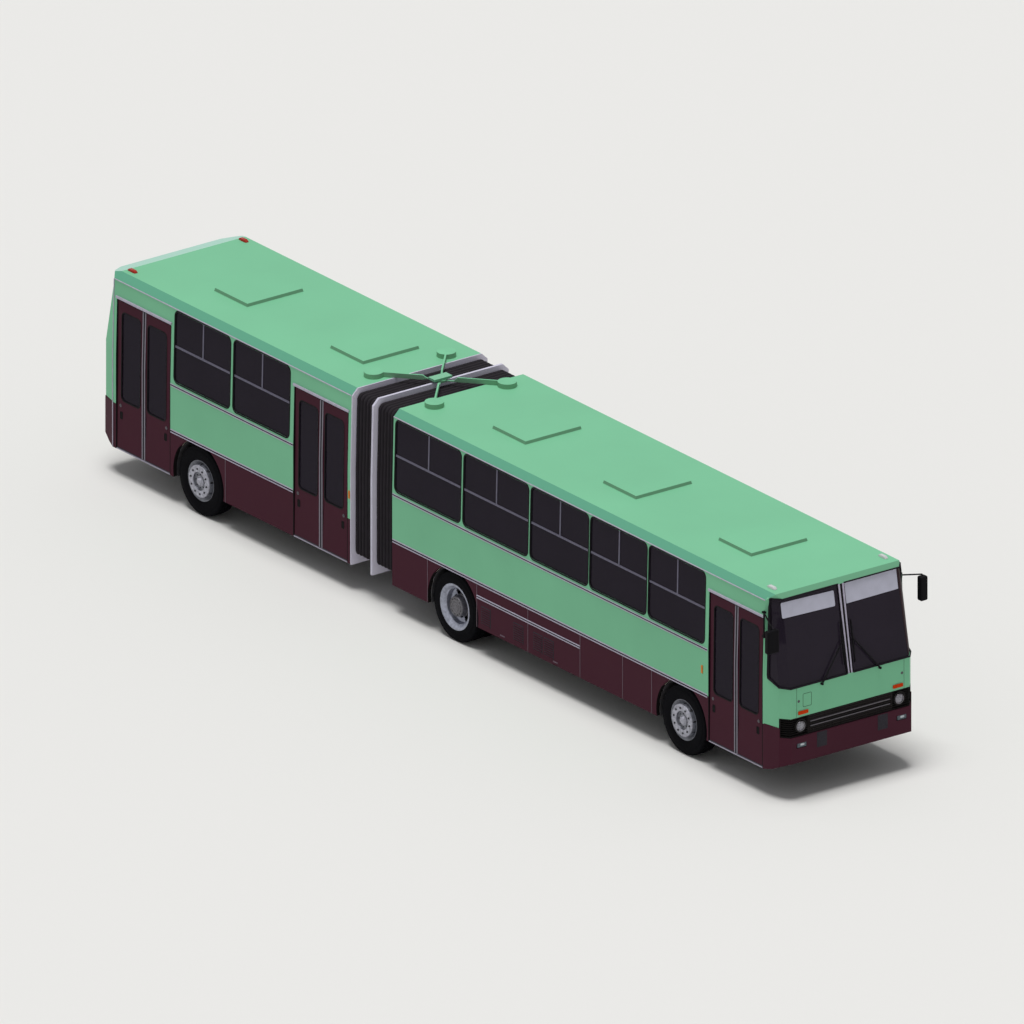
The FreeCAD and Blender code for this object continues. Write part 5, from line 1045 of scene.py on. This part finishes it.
def swell(form, cap):
    """Lets the cover of a pad swell as cloth under pressure, no point by more than cap."""
    remesh = form.modifiers.new("remesh", "REMESH")
    remesh.mode, remesh.voxel_size = "VOXEL", VOXEL
    form.data = finished_mesh(form)
    before = [v.co.copy() for v in form.data.vertices]
    cloth = form.modifiers.new("cloth", "CLOTH")
    cloth.settings.use_pressure = True
    cloth.settings.uniform_pressure_force = PUFF
    cloth.settings.effector_weights.gravity = 0.0
    cloth.point_cache.frame_start, cloth.point_cache.frame_end = 1, PUFF_FRAMES
    for number in range(1, PUFF_FRAMES + 1):
        bpy.context.scene.frame_set(number)
    form.data = finished_mesh(form)
    bpy.context.scene.frame_set(1)
    for vertex, start in zip(form.data.vertices, before):
        move = vertex.co - start
        if move.length > cap:
            vertex.co = start + move * (cap / move.length)


def stuffed_pad(name, along, thick, cap):
    """A swollen pad with its cross seams and the welt round its edge; points and faces."""
    form = piece(name, [uncut_pad(along, SEAT_WIDE, thick)], seat_hide, None)
    swell(form, cap)
    for vertex in form.data.vertices:
        for seam in (-along / 6, along / 6):
            vertex.co.z *= 1 - SEAM_DEEP * math.exp(-((vertex.co.x - seam) / SEAM_WIDE) ** 2)
    thin = form.modifiers.new("thin", "DECIMATE")
    thin.ratio = min(1.0, PAD_FACES / (2 * len(form.data.polygons)))
    form.data = finished_mesh(form)
    verts = [tuple(v.co) for v in form.data.vertices]
    faces = [tuple(f.vertices) for f in form.data.polygons]
    half, half_wide = along / 2, SEAT_WIDE / 2
    rings = []
    for x, y, nx, ny in rounded_loop(-half, half, -half_wide, half_wide, PAD_CORNER, 3):
        a, b, c = form.closest_point_on_mesh((x + nx * 0.02, y + ny * 0.02, thick * 0.30))[1]
        rings.append([(a + nx * WELT * out, b + ny * WELT * out, c + WELT * up) for out, up in welt_line])
    welt = solid(rings, closed=True)
    bpy.data.objects.remove(form)
    return verts + welt[0], faces + [tuple(len(verts) + i for i in face) for face in welt[1]]


def laid(shape, x, y, z, tilt):
    """Copy of a pad moved to a place and tipped back about the bus's width by so many degrees."""
    c, s = math.cos(math.radians(tilt)), math.sin(math.radians(tilt))
    return [(x + a * c - h * s, y + b, z + a * s + h * c) for a, b, h in shape[0]], shape[1]


seat_pad = stuffed_pad("seat_pad", 0.335, 0.060, 0.010)
back_pad = stuffed_pad("back_pad", 0.515, 0.054, 0.010)
for section, sides in SEATS.items():
    pads, shells = [], []
    for side, stations in sides.items():
        wall, aisle = side * 1.165, side * 0.315
        for x in map(at, stations):
            for line in (plinth_line, shell_line):
                shells.append(solid([[(x + a, y, z) for a, z in line] for y in (wall, aisle)]))
            for k in (0, 1):
                y = wall - side * (SEAT_PITCH / 2 + SEAT_PITCH * k)
                pads += [laid(seat_pad, x + 0.05, y, 1.360, 3), laid(back_pad, x - 0.164, y, 1.640, 94.5)]
    covers = piece(f"{section}_seat_pads", pads, seat_hide, f"{section}_section", smooth=75)
    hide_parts(f"{section}_seats")
    piece(f"{section}_seat_shells", shells, plinth_grey, f"{section}_section", bevel=0.004)

# ---- Driver's place -------------------------------------------------------------------------
# Moulded desk in dark grey with a large thin-rimmed wheel, a sprung seat on a boxed base with
# brown pads like the passengers', and a half-height partition behind it.
cab_grey = coating("cab_grey", (0.035, 0.035, 0.038), 0.6, grain=30, mottle=0.2, dent=0.4, fine=350)
dress(cab_grey, "driver_place")
pads = [laid(seat_pad, at(1.245), 0.63, 1.462, 3), laid(back_pad, at(1.446), 0.63, 1.760, 96.8)]
driver_pads = piece("driver_seat_pads", pads, seat_hide, "front_section", smooth=75)

# ---- Mirrors --------------------------------------------------------------------------------
# Black moulded housings on tubular brackets, the right one hung ahead of the corner and the left
# on a stay, with flat glasses facing back.
mirror_black = coating("mirror_black", (0.0060, 0.0055, 0.0068), 0.5, mottle=0.25, dent=0.3, shine=0.05)
dress(mirror_black, "mirrors")

# ---- Studio ---------------------------------------------------------------------------------
# Pale seamless floor, soft light from above and a long lens. The backdrop that the lens and the
# glass see is set apart from the sky that lights the bus.
pale = bpy.data.materials.new("pale_floor")
pale.use_nodes = True
pale.node_tree.nodes["Principled BSDF"].inputs["Base Color"].default_value = (0.81, 0.80, 0.775, 1)
pale.node_tree.nodes["Principled BSDF"].inputs["Roughness"].default_value = 0.9
reach = 300.0
ground = bpy.data.meshes.new("ground")
ground.from_pydata([(-reach, -reach, 0), (reach, -reach, 0), (reach, reach, 0), (-reach, reach, 0)], [],
                   [(0, 1, 2, 3)])
ground.materials.append(pale)
ground_object = bpy.data.objects.new("ground", ground)
bpy.context.scene.collection.objects.link(ground_object)

world = bpy.data.worlds.new("studio")
bpy.context.scene.world = world
world.use_nodes = True
world.node_tree.nodes["Background"].inputs["Color"].default_value = (0.95, 0.97, 1.0, 1)
world.node_tree.nodes["Background"].inputs["Strength"].default_value = 0.294
nodes, links = world.node_tree.nodes, world.node_tree.links
seen = nodes.new("ShaderNodeBackground")
seen.inputs["Color"].default_value = (0.806, 0.806, 0.791, 1)
path = nodes.new("ShaderNodeLightPath")
share = path.outputs["Is Camera Ray"]
for kind in ("Is Glossy Ray", "Is Transmission Ray"):
    either = nodes.new("ShaderNodeMath")
    either.operation = "MAXIMUM"
    links.new(share, either.inputs[0])
    links.new(path.outputs[kind], either.inputs[1])
    share = either.outputs[0]
mixed = nodes.new("ShaderNodeMixShader")
links.new(share, mixed.inputs[0])
links.new(nodes["Background"].outputs[0], mixed.inputs[1])
links.new(seen.outputs[0], mixed.inputs[2])
links.new(mixed.outputs[0], nodes["World Output"].inputs["Surface"])

key_light = bpy.data.lights.new("key", "SUN")
key_light.energy, key_light.angle = 2.30, math.radians(25)
key = bpy.data.objects.new("key", key_light)
bpy.context.scene.collection.objects.link(key)
key.rotation_euler = Vector((0.0, 0.083, -1.0)).to_track_quat("-Z", "Y").to_euler()

view = bpy.data.cameras.new("view")
view.type, view.ortho_scale, view.clip_start, view.clip_end = "ORTHO", 14.84, 0.5, 400.0
camera = bpy.data.objects.new("view", view)
bpy.context.scene.collection.objects.link(camera)
bpy.context.scene.camera = camera
back = Vector((0.743, -0.557, 0.371)).normalized()
camera.location = Vector((0.046, 0.0, 1.648)) + back * 60
camera.rotation_euler = (-back).to_track_quat("-Z", "Y").to_euler()
bpy.context.scene.view_settings.view_transform = "Standard"
